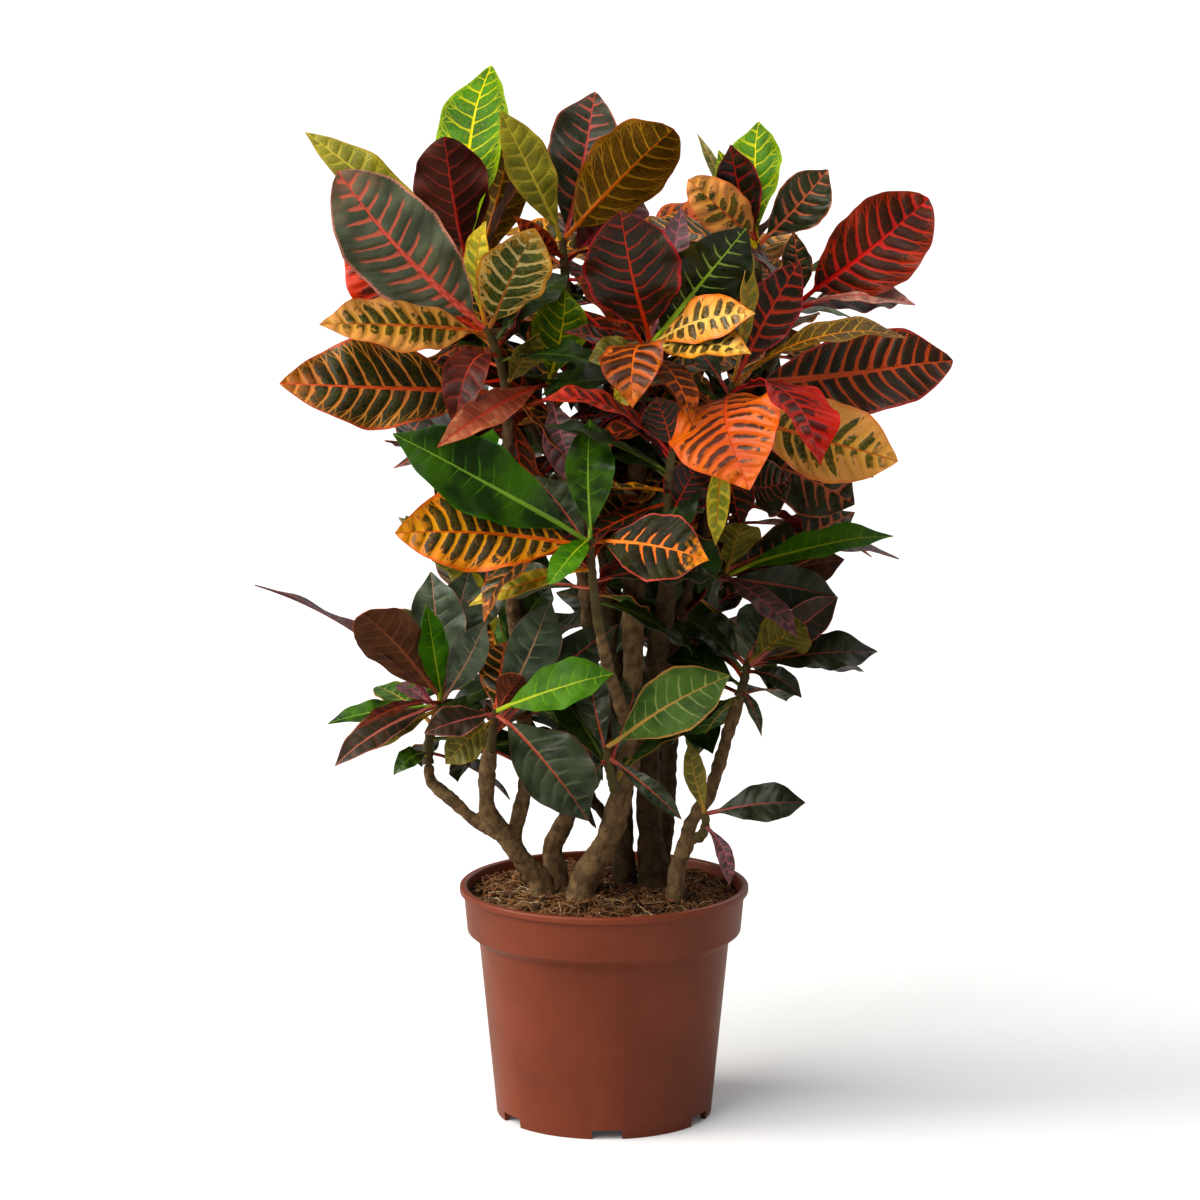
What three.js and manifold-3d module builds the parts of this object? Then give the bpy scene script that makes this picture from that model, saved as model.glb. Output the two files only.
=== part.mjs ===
// A potted croton: a terracotta-coloured nursery pot filled with peat and coir, eight woody
// stems that stand in the soil, and twenty-five leafy shoots seated on the ends of their branches.
// Millimetres, +Z up. The origin is on the standing surface, on the pot's axis.

import * as THREE from "three";
import { mergeVertices } from "three/addons/utils/BufferGeometryUtils.js";
import Module from "manifold-3d";

const wasm = await Module();
wasm.setup();

// Pot, a 21 cm grower's pot
const potHeight = 170;
const rimRadius = 105;
const rimLip = 3;
const lipDepth = 6;
const bandBottomRadius = 99.5;
const bandDepth = 33.5;
const shoulderDrop = 7;
const shoulderRadius = 91;
const footRadius = 78.5;
const potWall = 2.4;
const footRingWidth = 4.5;
const footRingHeight = 7;
const floorThickness = 2.5;
const potSegments = 32;
const notchCount = 6;
const notchWidth = 22;
const notchTurn = (1.5 * Math.PI) / 180;
const drainCount = 6;
const drainRadius = 5;
const drainCircle = 52;
const wallStepRise = 1.5;
const edgeBevel = 1;

// Soil
const seatGap = 0.3;
const soilEdgeHeight = 161;
const soilMound = 7;
const soilBump = 1.6;
const soilRings = [14, 42, 70, 98.3];
const stemHoleGap = 0.4;

// Stems and shoots
const woodSides = 6;
const woodStep = 58;
const shootSides = 5;
const shootBaseRadius = 4.1;
const shootTipRadius = 2.7;
const shootSteps = 2;
const shootStraightShare = 0.45;

// Leaves
const fullLeafStations = [0, 0.12, 0.3, 0.54, 0.8, 1];
const plainLeafStations = [0, 0.28, 0.56, 0.82, 1];
const slimLeafStations = [0, 0.32, 0.7, 1];
const fullLeafWidth = 44;
const slimLeafWidth = 26;
const rootClearance = 1.5;
const petioleShare = 0.12;
const petioleWidth = 3.4;
const petioleThickness = 2.4;
const bladeThickness = 0.9;
const bladeTipWidth = 1.4;
const bladeWidestAt = 0.56;
const bladeFullness = 0.85;
const bladeFold = 0.16;
const bladeWave = 0.05;
const wavesAlongBlade = 11;
const wavePhaseStep = 2.1;

// Each stem is one grown piece: its branches as [radius at the start, radius at the end, points].
// A branch ends at the shoot that it names. The first branch of a stem stands in the soil.
const stems = {
  wood_left: [
    [8.5, 5.5, [
      [-46, -22, 130], [-46, -22, 178], [-55, -26, 189], [-71, -34, 213], [-83, -40, 232],
      [-84, -48, 250], [-83, -56, 268], "left_low_front",
    ]],
    [5.5, 4.2, [
      [-73, -34, 213], [-91, -37, 224], [-105, -38, 237], [-118, -37, 248], [-125, -36, 255],
      "left_low",
    ]],
    [6.5, 4.2, [
      [-66, -30, 208], [-61, -24, 229], [-56, -18, 251], [-59, -12, 308], [-66, -15, 382],
      [-68, -25, 456], "left_top",
    ]],
  ],
  wood_left_back: [
    [9, 4.2, [
      [-35, 0, 130], [-35, 0, 178], [-38, 2, 194], [-28, 5, 216], [-19, 5, 238], [-10, 0, 306],
      [-13, -10, 381], [-23, -20, 441], "left_inner",
    ]],
  ],
  wood_front: [
    [10, 7.5, [
      [-15, -30, 130], [-15, -30, 178], [-7, -34, 194], [4, -38, 215], [11, -42, 241],
      [18, -46, 272], [20, -42, 315], [21, -42, 387], [22, -54, 461], "centre_front",
    ]],
    [5.5, 4.2, [
      [11, -42, 237], [11, -50, 244], "front_low",
    ]],
    [6.5, 4.2, [
      [20, -46, 277], [13, -62, 311], [3, -85, 345], "front_big",
    ]],
  ],
  wood_middle: [
    [8.5, 4.2, [
      [15, 10, 130], [15, 10, 176], [14, 14, 229], [14, 18, 287], [6, 20, 361], [-3, 20, 434],
      [-13, 18, 508], "middle_top",
    ]],
    [5.5, 4.2, [
      [7, 20, 346], [-17, 24, 404], [-46, 18, 464], [-69, 8, 523], "left_high",
    ]],
    [5.5, 4.2, [
      [1, 20, 383], [26, 40, 431], [69, 26, 492], [97, 8, 538], "right_top",
    ]],
  ],
  wood_right: [
    [11, 6.5, [
      [36, 4, 130], [36, 4, 180], [33, 6, 208], [32, 2, 257], [34, -14, 316], [42, -52, 374],
      [45, -80, 415], "centre_low",
    ]],
    [6, 4.2, [
      [33, -4, 292], [49, -18, 346], [62, -44, 409], [76, -66, 463], "right_front",
    ]],
    [6, 4.2, [
      [33, 0, 276], [58, 6, 349], [75, 2, 408], [87, -6, 417], "right_inner",
    ]],
    [4.6, 4.0, [
      [45, -16, 344], [51, -26, 362], [52, -26, 380], "right_mid",
    ]],
    [6.5, 4.2, [
      [32, 2, 265], [57, 24, 308], [78, 30, 403], [99, 14, 494], "right_high",
    ]],
  ],
  wood_right_front: [
    [6.5, 4.8, [
      [52, -34, 130], [52, -34, 184], [57, -36, 203], [62, -36, 222], [75, -34, 244],
      [84, -30, 270], [91, -27, 295], "right_low",
    ]],
    [4.2, 3.6, [
      [59, -36, 206], [62, -42, 211], "right_foot",
    ]],
  ],
  wood_back: [
    [8.5, 4.2, [
      [14, 38, 130], [14, 38, 178], [12, 44, 215], [8, 54, 330], [4, 64, 460], [4, 72, 530],
      "back_mid_high",
    ]],
    [5, 4.2, [
      [8, 52, 310], [9, 68, 370], [10, 81, 405], "back_mid",
    ]],
    [5.5, 4.2, [
      [6, 60, 390], [-30, 62, 460], [-62, 62, 515], "back_left_high",
    ]],
    [5.5, 4.2, [
      [11, 47, 240], [-30, 54, 310], [-64, 61, 365], "back_left",
    ]],
    [4.8, 4.2, [
      [12, 42, 196], [-20, 50, 235], [-50, 58, 266], "back_low_left",
    ]],
  ],
  wood_back_right: [
    [8, 4.2, [
      [42, 30, 130], [42, 30, 178], [46, 38, 220], [52, 52, 340], [60, 66, 460], [66, 72, 515],
      "back_right_high",
    ]],
    [5, 4.2, [
      [50, 48, 300], [66, 58, 345], [78, 66, 380], "back_right",
    ]],
    [4.8, 4.2, [
      [45, 36, 205], [42, 52, 240], [40, 65, 272], "back_low_right",
    ]],
  ],
};

// Leafy shoots that show from the front: where each is seated on its branch, its crown, and its
// leaves as [distance below the crown, tip, width, way the upper face looks, arch].
const shoots = {
  left_top: {
    seat: [-68, -45, 524],
    crown: [-83, -70, 586],
    leaves: [
      [5, [-182, -123, 699], 70, [-3, -10, 2], 10],
      [8, [-195, -130, 595], 50, [-1, -10, 7], 10],
      [58, [-225, -100, 550], 70, [0, -10, 5], 12],
      [10, [-184, -55, 645], 66, [-2, -10, 2], 8],
      [0, [-82, -95, 662], 26, [-10, -6, 0], 6],
      [4, [-48, -105, 658], 52, [2, -10, 1], 6],
      [25, [-103, -125, 521], 30, [-3, -10, 3], 25],
      [20, [-58, -60, 603], 22, [10, -2, 0], 4],
      [50, [-45, -75, 582], 22, [3, -10, 0], 4],
    ],
  },
  left_high: {
    seat: [-79, 0, 564],
    crown: [-98, 5, 623],
    leaves: [
      [0, [-112, -15, 714], 56, [1, 10, 1], -6],
      [10, [-82, 43, 762], 58, [-6, -10, 2], 14],
      [10, [-213, 25, 714], 36, [-2, -10, 10], 12],
      [15, [-64, 30, 715], 34, [2, 10, 2], 6],
      [20, [-54, -5, 692], 30, [-10, 0, 8], 4],
    ],
  },
  middle_top: {
    seat: [-23, 15, 573],
    crown: [-30, 10, 640],
    leaves: [
      [5, [-73, -15, 732], 34, [4, -10, 1], 8],
      [3, [49, -10, 720], 58, [0, 10, 2], 8],
      [10, [-7, 70, 741], 50, [0, -10, 3], 6],
      [20, [26, 70, 668], 50, [3, -10, 5], 6],
      [15, [-63, -30, 659], 16, [-3, -10, 3], 8],
    ],
  },
  centre_front: {
    seat: [25, -70, 520],
    crown: [32, -90, 578],
    leaves: [
      [0, [11, -128, 672], 68, [-1, -10, 2], 8],
      [3, [97, -125, 660], 54, [2, -10, 1], 6],
      [6, [19, -165, 543], 44, [-2, -7, 9], 20],
      [20, [62, -166, 530], 26, [3, -9, 5], 20],
      [4, [102, -160, 606], 34, [1, -10, 6], 8],
      [8, [99, -165, 581], 34, [1, -10, 9], 8],
      [30, [9, -120, 533], 18, [-3, -10, 3], 8],
      [12, [-11, -110, 568], 26, [-1, -10, 6], 6],
      [10, [54, -40, 668], 22, [0, -10, 2], 10],
      [12, [35, -50, 647], 40, [2, -10, 3], 4],
    ],
  },
  right_front: {
    seat: [82, -80, 500],
    crown: [89, -100, 550],
    leaves: [
      [0, [136, -74, 632], 46, [3, -10, 0], 0],
      [2, [208, -125, 588], 36, [2, -4, 10], 18],
      [4, [246, -60, 563], 60, [1, -10, 4], 8],
      [6, [147, -195, 509], 56, [5, -7, 6], 26],
      [8, [97, -205.5, 493], 78, [-3, -9, 5], 20],
      [25, [204, -110, 498], 58, [1, -10, 3], 6],
      [0, [97, -110, 653], 24, [10, -1, 0], 6],
      [45, [77, -115, 438], 16, [0, -10, 2], 15],
    ],
  },
  right_top: {
    seat: [105, 0, 575],
    crown: [109, 10, 637],
    leaves: [
      [0, [72, -20, 686], 36, [0, -10, 2], 12],
      [5, [112, 30, 722], 38, [-7, -10, 1], 8],
      [8, [80, 14, 702], 22, [-2, -10, 1], 4],
      [10, [66, 40, 712], 9, [0, -10, 2], 4],
      [2, [89, -15, 708], 32, [-3, -10, 1], 4],
      [4, [159, 10, 689], 38, [1, -10, 2], 6],
    ],
  },
  right_high: {
    seat: [117, 0, 545],
    crown: [140, 5, 596],
    leaves: [
      [2, [229, -10, 671], 60, [1, -10, 2], 8],
      [5, [220, -25, 597], 22, [2, -6, 10], 8],
      [8, [217, 20, 596], 40, [1, -5, 10], 6],
      [3, [133, -25, 647], 22, [0, -10, 1], 4],
    ],
  },
  centre_low: {
    seat: [44, -95, 453],
    crown: [47, -120, 507],
    leaves: [
      [0, [35, -133, 545], 34, [0, -10, 2], 4],
      [4, [-42, -155, 549], 30, [0, -3, 10], 12],
      [62, [66, -100, 495], 40, [2, -10, 2], 6],
    ],
  },
  right_inner: {
    seat: [94, -10, 432],
    crown: [102, -30, 493],
    leaves: [
      [5, [177, -50, 457], 56, [1, -10, 3], 8],
      [30, [131, -60, 476], 46, [2, -10, 1], 6],
    ],
  },
  left_inner: {
    seat: [-31, -30, 486],
    crown: [-40, -40, 541],
    leaves: [
      [0, [-108, -103, 507], 30, [0, 10, 5], 8],
      [2, [-27, -45, 609], 40, [2, -10, 1], 4],
      [8, [-17, -85, 474], 30, [0, -10, 3], 10],
      [10, [-151, -4, 476], 14, [0, -10, 6], 8],
    ],
  },
  front_big: {
    seat: [-3, -110, 378],
    crown: [-10, -130, 445],
    leaves: [
      [0, [71, -175, 439], 52, [1, -10, 5], 6],
      [2, [-144, -158, 524], 56, [1, -10, 5], 8],
      [4, [-142, -175, 458], 62, [0, -10, 5], 6],
      [10, [-84, -165, 395], 40, [-2, -3, 10], 20],
      [20, [-94, -130, 399], 18, [-2, -8, 6], 10],
      [0, [-38, -175, 422], 20, [0, -10, 6], 10],
      [4, [-10, -115, 527], 34, [1, -10, 1], 4],
    ],
  },
  right_mid: {
    seat: [61, -15, 388],
    crown: [89, -5, 399],
    leaves: [
      [0, [206, -25, 433], 30, [0, -8, 8], 10],
      [4, [214, 20, 408], 22, [1, -2, 10], 14],
      [2, [97, -40, 443], 34, [0, 10, 2], 4],
      [6, [139, -55, 363], 22, [2, -9, 6], 12],
      [8, [175, 30, 405], 40, [0, -10, 6], 0],
      [10, [169, 10, 379], 36, [0, -10, 4], 6],
    ],
  },
  right_low: {
    seat: [97, -25, 313],
    crown: [103, -15, 338],
    leaves: [
      [2, [197, -4, 343], 40, [1, -7, 10], 2],
      [5, [190, 25, 324], 30, [1, -5, 10], 8],
      [3, [145, -35, 368], 40, [0, 10, 3], 6],
      [0, [119, -5, 380], 40, [1, -10, 2], 4],
      [4, [65, -5, 370], 28, [-2, -10, 4], 4],
      [8, [141, -40, 316], 16, [1, -8, 8], 8],
      [25, [112, -76, 296], 10, [1, -8, 8], 10],
    ],
  },
  front_low: {
    seat: [8, -60, 253],
    crown: [1, -72, 286],
    leaves: [
      [0, [88, -100, 344], 46, [1, -10, 5], 6],
      [6, [55, -90, 238], 14, [0, -10, 5], 8],
      [8, [-20, -75, 256], 20, [0, -10, 3], 6],
    ],
  },
  left_low_front: {
    seat: [-81, -60, 282],
    crown: [-77, -75, 313],
    leaves: [
      [0, [6, -110, 348], 38, [0, -10, 6], 6],
      [2, [-10, -120, 244], 54, [2, -10, 6], 16],
      [3, [-126, -110, 305], 26, [-1, -10, 6], 6],
      [8, [-112, -90, 278], 26, [-1, -10, 5], 6],
      [4, [-57, -78, 340], 24, [0, 10, 2], 3],
      [15, [-38, -50, 389], 38, [2, -10, 3], 6],
      [20, [10, -40, 369], 32, [1, -10, 6], 6],
    ],
  },
  left_low: {
    seat: [-126, -35, 266],
    crown: [-115, -35, 313],
    leaves: [
      [0, [-170, -91, 387], 44, [-1, 10, 2], 6],
      [6, [-124, -20, 404], 32, [0, -10, 2], 4],
      [8, [-97, 10, 400], 30, [1, -10, 2], 4],
      [4, [-126, -50, 386], 22, [10, -5, 0], 4],
      [2, [-84, -55, 374], 26, [1, -10, 2], 4],
      [2, [-174, -100, 306], 14, [-2, -7, 8], 8],
      [4, [-190, -90, 278], 24, [-2, -8, 8], 8],
      [8, [-171, -50, 278], 18, [0, -8, 8], 6],
      [6, [-197, -50, 299], 20, [0, -8, 10], 8],
      [42, [-150, -60, 264], 16, [0, -8, 8], 10],
      [8, [-246.1, -68, 403], 24, [0, -2, 10], 14],
      [9, [-198, 10, 369], 16, [0, -2, 10], 8],
      [10, [-151, 15, 316], 16, [0, -4, 10], 4],
    ],
  },
  right_foot: {
    seat: [67, -48, 215],
    crown: [72, -62, 236],
    leaves: [
      [0, [143, -70, 246], 30, [1, -10, 6], 6],
      [4, [60, -62, 288], 16, [0, -10, 2], 4],
      [10, [89, -80, 188], 12, [3, -8, 5], 10],
    ],
  },
};

// Leafy shoots behind, whose leaves follow a rule: they turn round the crown by the golden
// angle inside a fan that looks away from the plant, and sink from steep to level.
// turns and lifts bend single leaves clear of their neighbours, in steps.
const backShoots = {
  back_left_high: {
    seat: [-75, 62, 545], crown: [-95, 80, 600], looks: 150, steepest: 50, seed: 0,
    turns: [0, 0, 0, 0, 0, 2, 0], lifts: [0, 0, 0, 0, 0, 0, 0],
  },
  back_mid_high: {
    seat: [5, 78, 560], crown: [10, 96, 615], looks: 90, steepest: 48, seed: 1,
    turns: [0, 0, -3, 0, 0, 0, 0], lifts: [0, 0, 0, 0, 0, 3, 0],
  },
  back_right_high: {
    seat: [70, 75, 540], crown: [88, 90, 592], looks: 30, steepest: 50, seed: 2,
    turns: [0, -3, 0, 0, 0, 0, 0], lifts: [0, 0, 0, 0, 0, 0, 0],
  },
  back_left: {
    seat: [-78, 66, 395], crown: [-92, 86, 445], looks: 130, steepest: 55, seed: 3,
    turns: [0, 0, 0, 0, 0, 6, 0], lifts: [0, 0, 0, 2, 0, 0, 0],
  },
  back_mid: {
    seat: [10, 86, 420], crown: [12, 106, 475], looks: 90, steepest: 45, seed: 4,
    turns: [0, 0, 0, 0, 0, 0, 0], lifts: [0, 0, 0, 1, 0, 1, 0],
  },
  back_right: {
    seat: [85, 70, 400], crown: [108, 88, 450], looks: 25, steepest: 55, seed: 5,
    turns: [0, 0, 0, 0, 0, 0, 1], lifts: [0, 0, 0, 0, 0, 1, 0],
  },
  back_low_left: {
    seat: [-60, 60, 285], crown: [-78, 76, 330], looks: 150, steepest: 50, seed: 6,
    turns: [1, 0, 0, 0, 0, 0, 0], lifts: [0, 1, 0, 0, 0, 0, -1],
  },
  back_low_right: {
    seat: [40, 70, 290], crown: [52, 88, 335], looks: 50, steepest: 50, seed: 7,
    turns: [4, 0, -1, 2, 1, 1, 0], lifts: [0, 0, 0, 0, 0, 2, 0],
  },
};
const backFan = 190;
const backLowest = -6;
const backTurnStep = 9;
const backLiftStep = 8;
const backLeafLength = 92;
const backLeafSpread = 30;
const backLeafSlimness = 0.43;
const backLeafSpacing = 5;
const backLeafArch = 9;
const backFirstBelow = 3;
const backFaceTilt = 4;
const backFaceRise = 10;
const goldenShare = 0.618;
const seedShare = 0.37;
const seedLength = 0.21;

// Colours of the finishes, each with its roughness
const finishes = {
  pot: ["#82412d", 0.55],
  soil: ["#3a2a1e", 0.95],
  wood: ["#6b5238", 0.9],
  rose: ["#4a3a34", 0.4],
  lime: ["#6f9a24", 0.4],
  tan: ["#6a4a1c", 0.45],
  crimson: ["#4a1c1c", 0.4],
  blaze: ["#c8502a", 0.4],
  amber: ["#b8742a", 0.4],
  ember: ["#4c3420", 0.4],
  gloss: ["#2e5a1e", 0.35],
  bright: ["#4a8a22", 0.4],
  dusk: ["#26301f", 0.4],
  maroon: ["#46241c", 0.5],
  sage: ["#4a6a3a", 0.4],
};

// The colour that stands out most on each shoot
const shootFinish = {
  left_top: "ember",
  left_high: "lime",
  middle_top: "tan",
  centre_front: "crimson",
  right_front: "blaze",
  right_top: "amber",
  right_high: "crimson",
  centre_low: "crimson",
  right_inner: "rose",
  left_inner: "dusk",
  front_big: "gloss",
  right_mid: "bright",
  right_low: "dusk",
  front_low: "sage",
  left_low_front: "bright",
  left_low: "maroon",
  right_foot: "dusk",
  back_left_high: "ember",
  back_mid_high: "gloss",
  back_right_high: "crimson",
  back_left: "gloss",
  back_mid: "ember",
  back_right: "rose",
  back_low_left: "dusk",
  back_low_right: "sage",
};

const vec = (point) => new THREE.Vector3(...point);
const radians = (degrees) => (degrees * Math.PI) / 180;
const fraction = (value) => value - Math.floor(value);

// A solid from points and triangles whose faces point out
function solidOf(positions, triangles) {
  return new wasm.Manifold(
    new wasm.Mesh({
      numProp: 3,
      vertProperties: new Float32Array(positions),
      triVerts: new Uint32Array(triangles),
    }),
  );
}

// The one body of a fused solid: small hollows that fusing sealed are filled
function wholeBody(solid) {
  const bodies = solid.decompose();
  return bodies.reduce((largest, body) => (body.volume() > largest.volume() ? body : largest));
}

function solidOfGeometry(geometry) {
  geometry.deleteAttribute("normal");
  geometry.deleteAttribute("uv");
  const merged = mergeVertices(geometry, 1e-4);
  return solidOf(merged.attributes.position.array, merged.index.array);
}

function meshOf(solid, name, finish) {
  const { vertProperties, triVerts } = solid.getMesh();
  const geometry = new THREE.BufferGeometry();
  geometry.setAttribute("position", new THREE.BufferAttribute(vertProperties, 3));
  geometry.setIndex(new THREE.BufferAttribute(triVerts, 1));
  geometry.computeVertexNormals();
  const [color, roughness] = finishes[finish];
  const mesh = new THREE.Mesh(
    geometry,
    new THREE.MeshStandardMaterial({ color, roughness, metalness: 0 }),
  );
  mesh.name = name;
  return mesh;
}

// A closed skin over rings that all have the same number of points, with a flat cap at each end
function skin(rings) {
  const sides = rings[0].length;
  const triangles = [];
  for (let i = 0; i + 1 < rings.length; i += 1) {
    for (let k = 0; k < sides; k += 1) {
      const a = i * sides + k;
      const b = i * sides + ((k + 1) % sides);
      triangles.push(a, b, b + sides, a, b + sides, a + sides);
    }
  }
  const last = (rings.length - 1) * sides;
  for (let k = 1; k + 1 < sides; k += 1) {
    triangles.push(0, k + 1, k);
    triangles.push(last, last + k, last + k + 1);
  }
  return solidOf(rings.flat().flatMap((point) => point.toArray()), triangles);
}

// A round tube along a path, whose radius follows a function of the share of the path
function tube(path, radiusAt, sides, steps) {
  const rings = [];
  const across = new THREE.Vector3(1, 0.3, 0);
  for (let i = 0; i <= steps; i += 1) {
    const share = i / steps;
    const centre = path.getPoint(share);
    const along = path.getTangent(share);
    across.addScaledVector(along, -across.dot(along)).normalize();
    const other = new THREE.Vector3().crossVectors(along, across);
    const ring = [];
    for (let k = 0; k < sides; k += 1) {
      const turn = (2 * Math.PI * k) / sides;
      ring.push(
        centre
          .clone()
          .addScaledVector(across, radiusAt(share) * Math.cos(turn))
          .addScaledVector(other, radiusAt(share) * Math.sin(turn)),
      );
    }
    rings.push(ring);
  }
  return skin(rings);
}

// Rings of six points, three over the blade and three under it, split alike on both faces
function bladeSkin(rings) {
  const id = (ring, point) => ring * 6 + (point % 6);
  const triangles = [];
  const quad = (a, b, c, d) => triangles.push(a, b, c, a, c, d);
  for (let i = 0; i + 1 < rings.length; i += 1) {
    for (const over of [0, 1, 2, 5]) {
      quad(id(i, over), id(i, over + 1), id(i + 1, over + 1), id(i + 1, over));
    }
    for (const under of [3, 4]) {
      quad(id(i, under + 1), id(i + 1, under + 1), id(i + 1, under), id(i, under));
    }
  }
  const last = rings.length - 1;
  for (const [a, b, c] of [[0, 5, 1], [5, 4, 1], [1, 4, 2], [4, 3, 2]]) {
    triangles.push(id(0, a), id(0, b), id(0, c));
    triangles.push(id(last, a), id(last, c), id(last, b));
  }
  return solidOf(rings.flat().flatMap((point) => point.toArray()), triangles);
}

// Half of a blade's width at a share of its length, as a share of its greatest half width
function bladeOutline(share) {
  const power = Math.log(0.5) / Math.log(bladeWidestAt);
  return Math.sin(Math.PI * Math.pow(Math.max(share, 0), power)) ** bladeFullness;
}

// One leaf: a short stalk that starts inside the shoot, then a blade folded a little along its
// midrib, arched from root to tip and waved along its edges
function leaf({ root, tip, width, faces, arch, phase, stations }) {
  const along = tip.clone().sub(root).normalize();
  const up = faces.clone().addScaledVector(along, -faces.dot(along)).normalize();
  const side = new THREE.Vector3().crossVectors(along, up);
  const bend = root.clone().add(tip).multiplyScalar(0.5).addScaledVector(up, 2 * arch);
  const midrib = new THREE.QuadraticBezierCurve3(root, bend, tip);
  const rings = stations.map((station) => {
    const share = (station - petioleShare) / (1 - petioleShare);
    const onBlade = share > 0;
    const slimmest = share > 0.5 ? bladeTipWidth : petioleWidth;
    const half = Math.max(slimmest / 2, onBlade ? (width / 2) * bladeOutline(share) : 0);
    const thick = onBlade ? bladeThickness : petioleThickness;
    const fold = onBlade ? bladeFold * half : 0;
    const wave = onBlade ? bladeWave * half * Math.sin(wavesAlongBlade * share + phase) : 0;
    const centre = midrib.getPoint(station);
    const normal = new THREE.Vector3().crossVectors(side, midrib.getTangent(station)).normalize();
    const at = (across, lift) =>
      centre.clone().addScaledVector(side, across * half).addScaledVector(normal, lift);
    return [
      at(-1, fold + wave + thick / 2),
      at(0, thick / 2),
      at(1, fold - wave + thick / 2),
      at(1, fold - wave - thick / 2),
      at(0, -thick / 2),
      at(-1, fold + wave - thick / 2),
    ];
  });
  return bladeSkin(rings);
}

// The leaf rows of a shoot behind, by its rule
function backLeaves({ crown, looks, steepest, seed, turns, lifts }) {
  return turns.map((turn, i) => {
    const sweep = fraction(goldenShare * (i + 1) + seedShare * seed) - 0.5;
    const heading = radians(looks + backFan * sweep + backTurnStep * turn);
    const sink = ((steepest - backLowest) * i) / (turns.length - 1);
    const rise = radians(steepest - sink + backLiftStep * lifts[i]);
    const length = backLeafLength + backLeafSpread * fraction(seedShare * i + seedLength * seed);
    const below = backFirstBelow + backLeafSpacing * i;
    const tip = [
      crown[0] + length * Math.cos(rise) * Math.cos(heading),
      crown[1] + length * Math.cos(rise) * Math.sin(heading),
      crown[2] - below + length * Math.sin(rise),
    ];
    const faces = [
      backFaceTilt * Math.cos(heading),
      backFaceTilt * Math.sin(heading),
      backFaceRise,
    ];
    return [below, tip, backLeafSlimness * length, faces, backLeafArch];
  });
}

// Wide leaves in front have the most cross-sections, and narrow ones the fewest
function stationsOf(width, inFront) {
  if (width < slimLeafWidth) {
    return slimLeafStations;
  }
  return inFront && width >= fullLeafWidth ? fullLeafStations : plainLeafStations;
}

// A leafy shoot: its green stem, seated square on the end of its branch, and its leaves
function shoot({ seat, crown, leaves, looks }, seatDirection) {
  const start = vec(seat).addScaledVector(seatDirection, seatGap);
  const reach = shootStraightShare * start.distanceTo(vec(crown));
  const bend = start.clone().addScaledVector(seatDirection, reach);
  const path = new THREE.QuadraticBezierCurve3(start, bend, vec(crown));
  const length = path.getLength();
  const taper = (share) => shootBaseRadius - (shootBaseRadius - shootTipRadius) * share;
  let solid = tube(path, taper, shootSides, shootSteps);
  leaves.forEach(([below, tip, width, faces, arch], i) => {
    const root = path.getPointAt(THREE.MathUtils.clamp(1 - below / length, 0.02, 1));
    root.addScaledVector(vec(tip).sub(root).normalize(), rootClearance);
    const stations = stationsOf(width, looks === undefined);
    const phase = wavePhaseStep * i;
    const row = { root, tip: vec(tip), width, faces: vec(faces), arch, phase, stations };
    solid = solid.add(leaf(row));
  });
  return wholeBody(solid);
}

const seats = { ...shoots, ...backShoots };

function branchPath(points) {
  const through = points.map((point) => vec(seats[point]?.seat ?? point));
  return new THREE.CatmullRomCurve3(through, false, "centripetal");
}

function branchTube([startRadius, endRadius, points], swell = 0) {
  const path = branchPath(points);
  const steps = Math.max(2, Math.round(path.getLength() / woodStep));
  const taper = (share) => startRadius + (endRadius - startRadius) * share + swell;
  return tube(path, taper, woodSides, steps);
}

function stem(branches) {
  const tubes = branches.map((branch) => branchTube(branch));
  return wholeBody(tubes.reduce((whole, branch) => whole.add(branch)));
}

// The way each branch points where its shoot is seated
function seatDirections() {
  const directions = {};
  for (const [, , points] of Object.values(stems).flat()) {
    directions[points.at(-1)] = branchPath(points).getTangent(1);
  }
  return directions;
}

// The wall's inner face, from the floor up, as [radius, height]
const innerWall = [
  [footRadius - potWall, footRingHeight + floorThickness],
  [shoulderRadius - potWall, potHeight - bandDepth - shoulderDrop + wallStepRise],
  [bandBottomRadius - potWall, potHeight - bandDepth + wallStepRise],
  [rimRadius - rimLip - potWall, potHeight - edgeBevel],
];

function pot() {
  const profile = [
    [0, footRingHeight],
    [footRadius - footRingWidth, footRingHeight],
    [footRadius - footRingWidth + edgeBevel, 0],
    [footRadius, 0],
    [shoulderRadius, potHeight - bandDepth - shoulderDrop],
    [bandBottomRadius, potHeight - bandDepth],
    [rimRadius - rimLip, potHeight - lipDepth],
    [rimRadius, potHeight - lipDepth + edgeBevel],
    [rimRadius, potHeight - edgeBevel],
    [rimRadius - edgeBevel, potHeight],
    [rimRadius - rimLip - potWall + edgeBevel, potHeight],
    ...[...innerWall].reverse(),
    [0, footRingHeight + floorThickness],
  ].map(([radius, height]) => new THREE.Vector2(radius, height));
  let solid = solidOfGeometry(new THREE.LatheGeometry(profile, potSegments).rotateX(Math.PI / 2));
  for (let i = 0; i < notchCount; i += 1) {
    const notch = new THREE.BoxGeometry(4 * footRingWidth, notchWidth, 2 * footRingHeight - 0.4);
    notch.translate(footRadius, 0, 0);
    notch.rotateZ(-Math.PI / 2 + notchTurn + (2 * Math.PI * i) / notchCount);
    solid = solid.subtract(solidOfGeometry(notch));
  }
  for (let i = 0; i < drainCount; i += 1) {
    const turn = (2 * Math.PI * (i + 0.5)) / drainCount;
    const drain = new THREE.CylinderGeometry(drainRadius, drainRadius, 4 * floorThickness, 8);
    drain.rotateX(Math.PI / 2);
    drain.translate(drainCircle * Math.cos(turn), drainCircle * Math.sin(turn), footRingHeight);
    solid = solid.subtract(solidOfGeometry(drain));
  }
  return solid;
}

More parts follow.
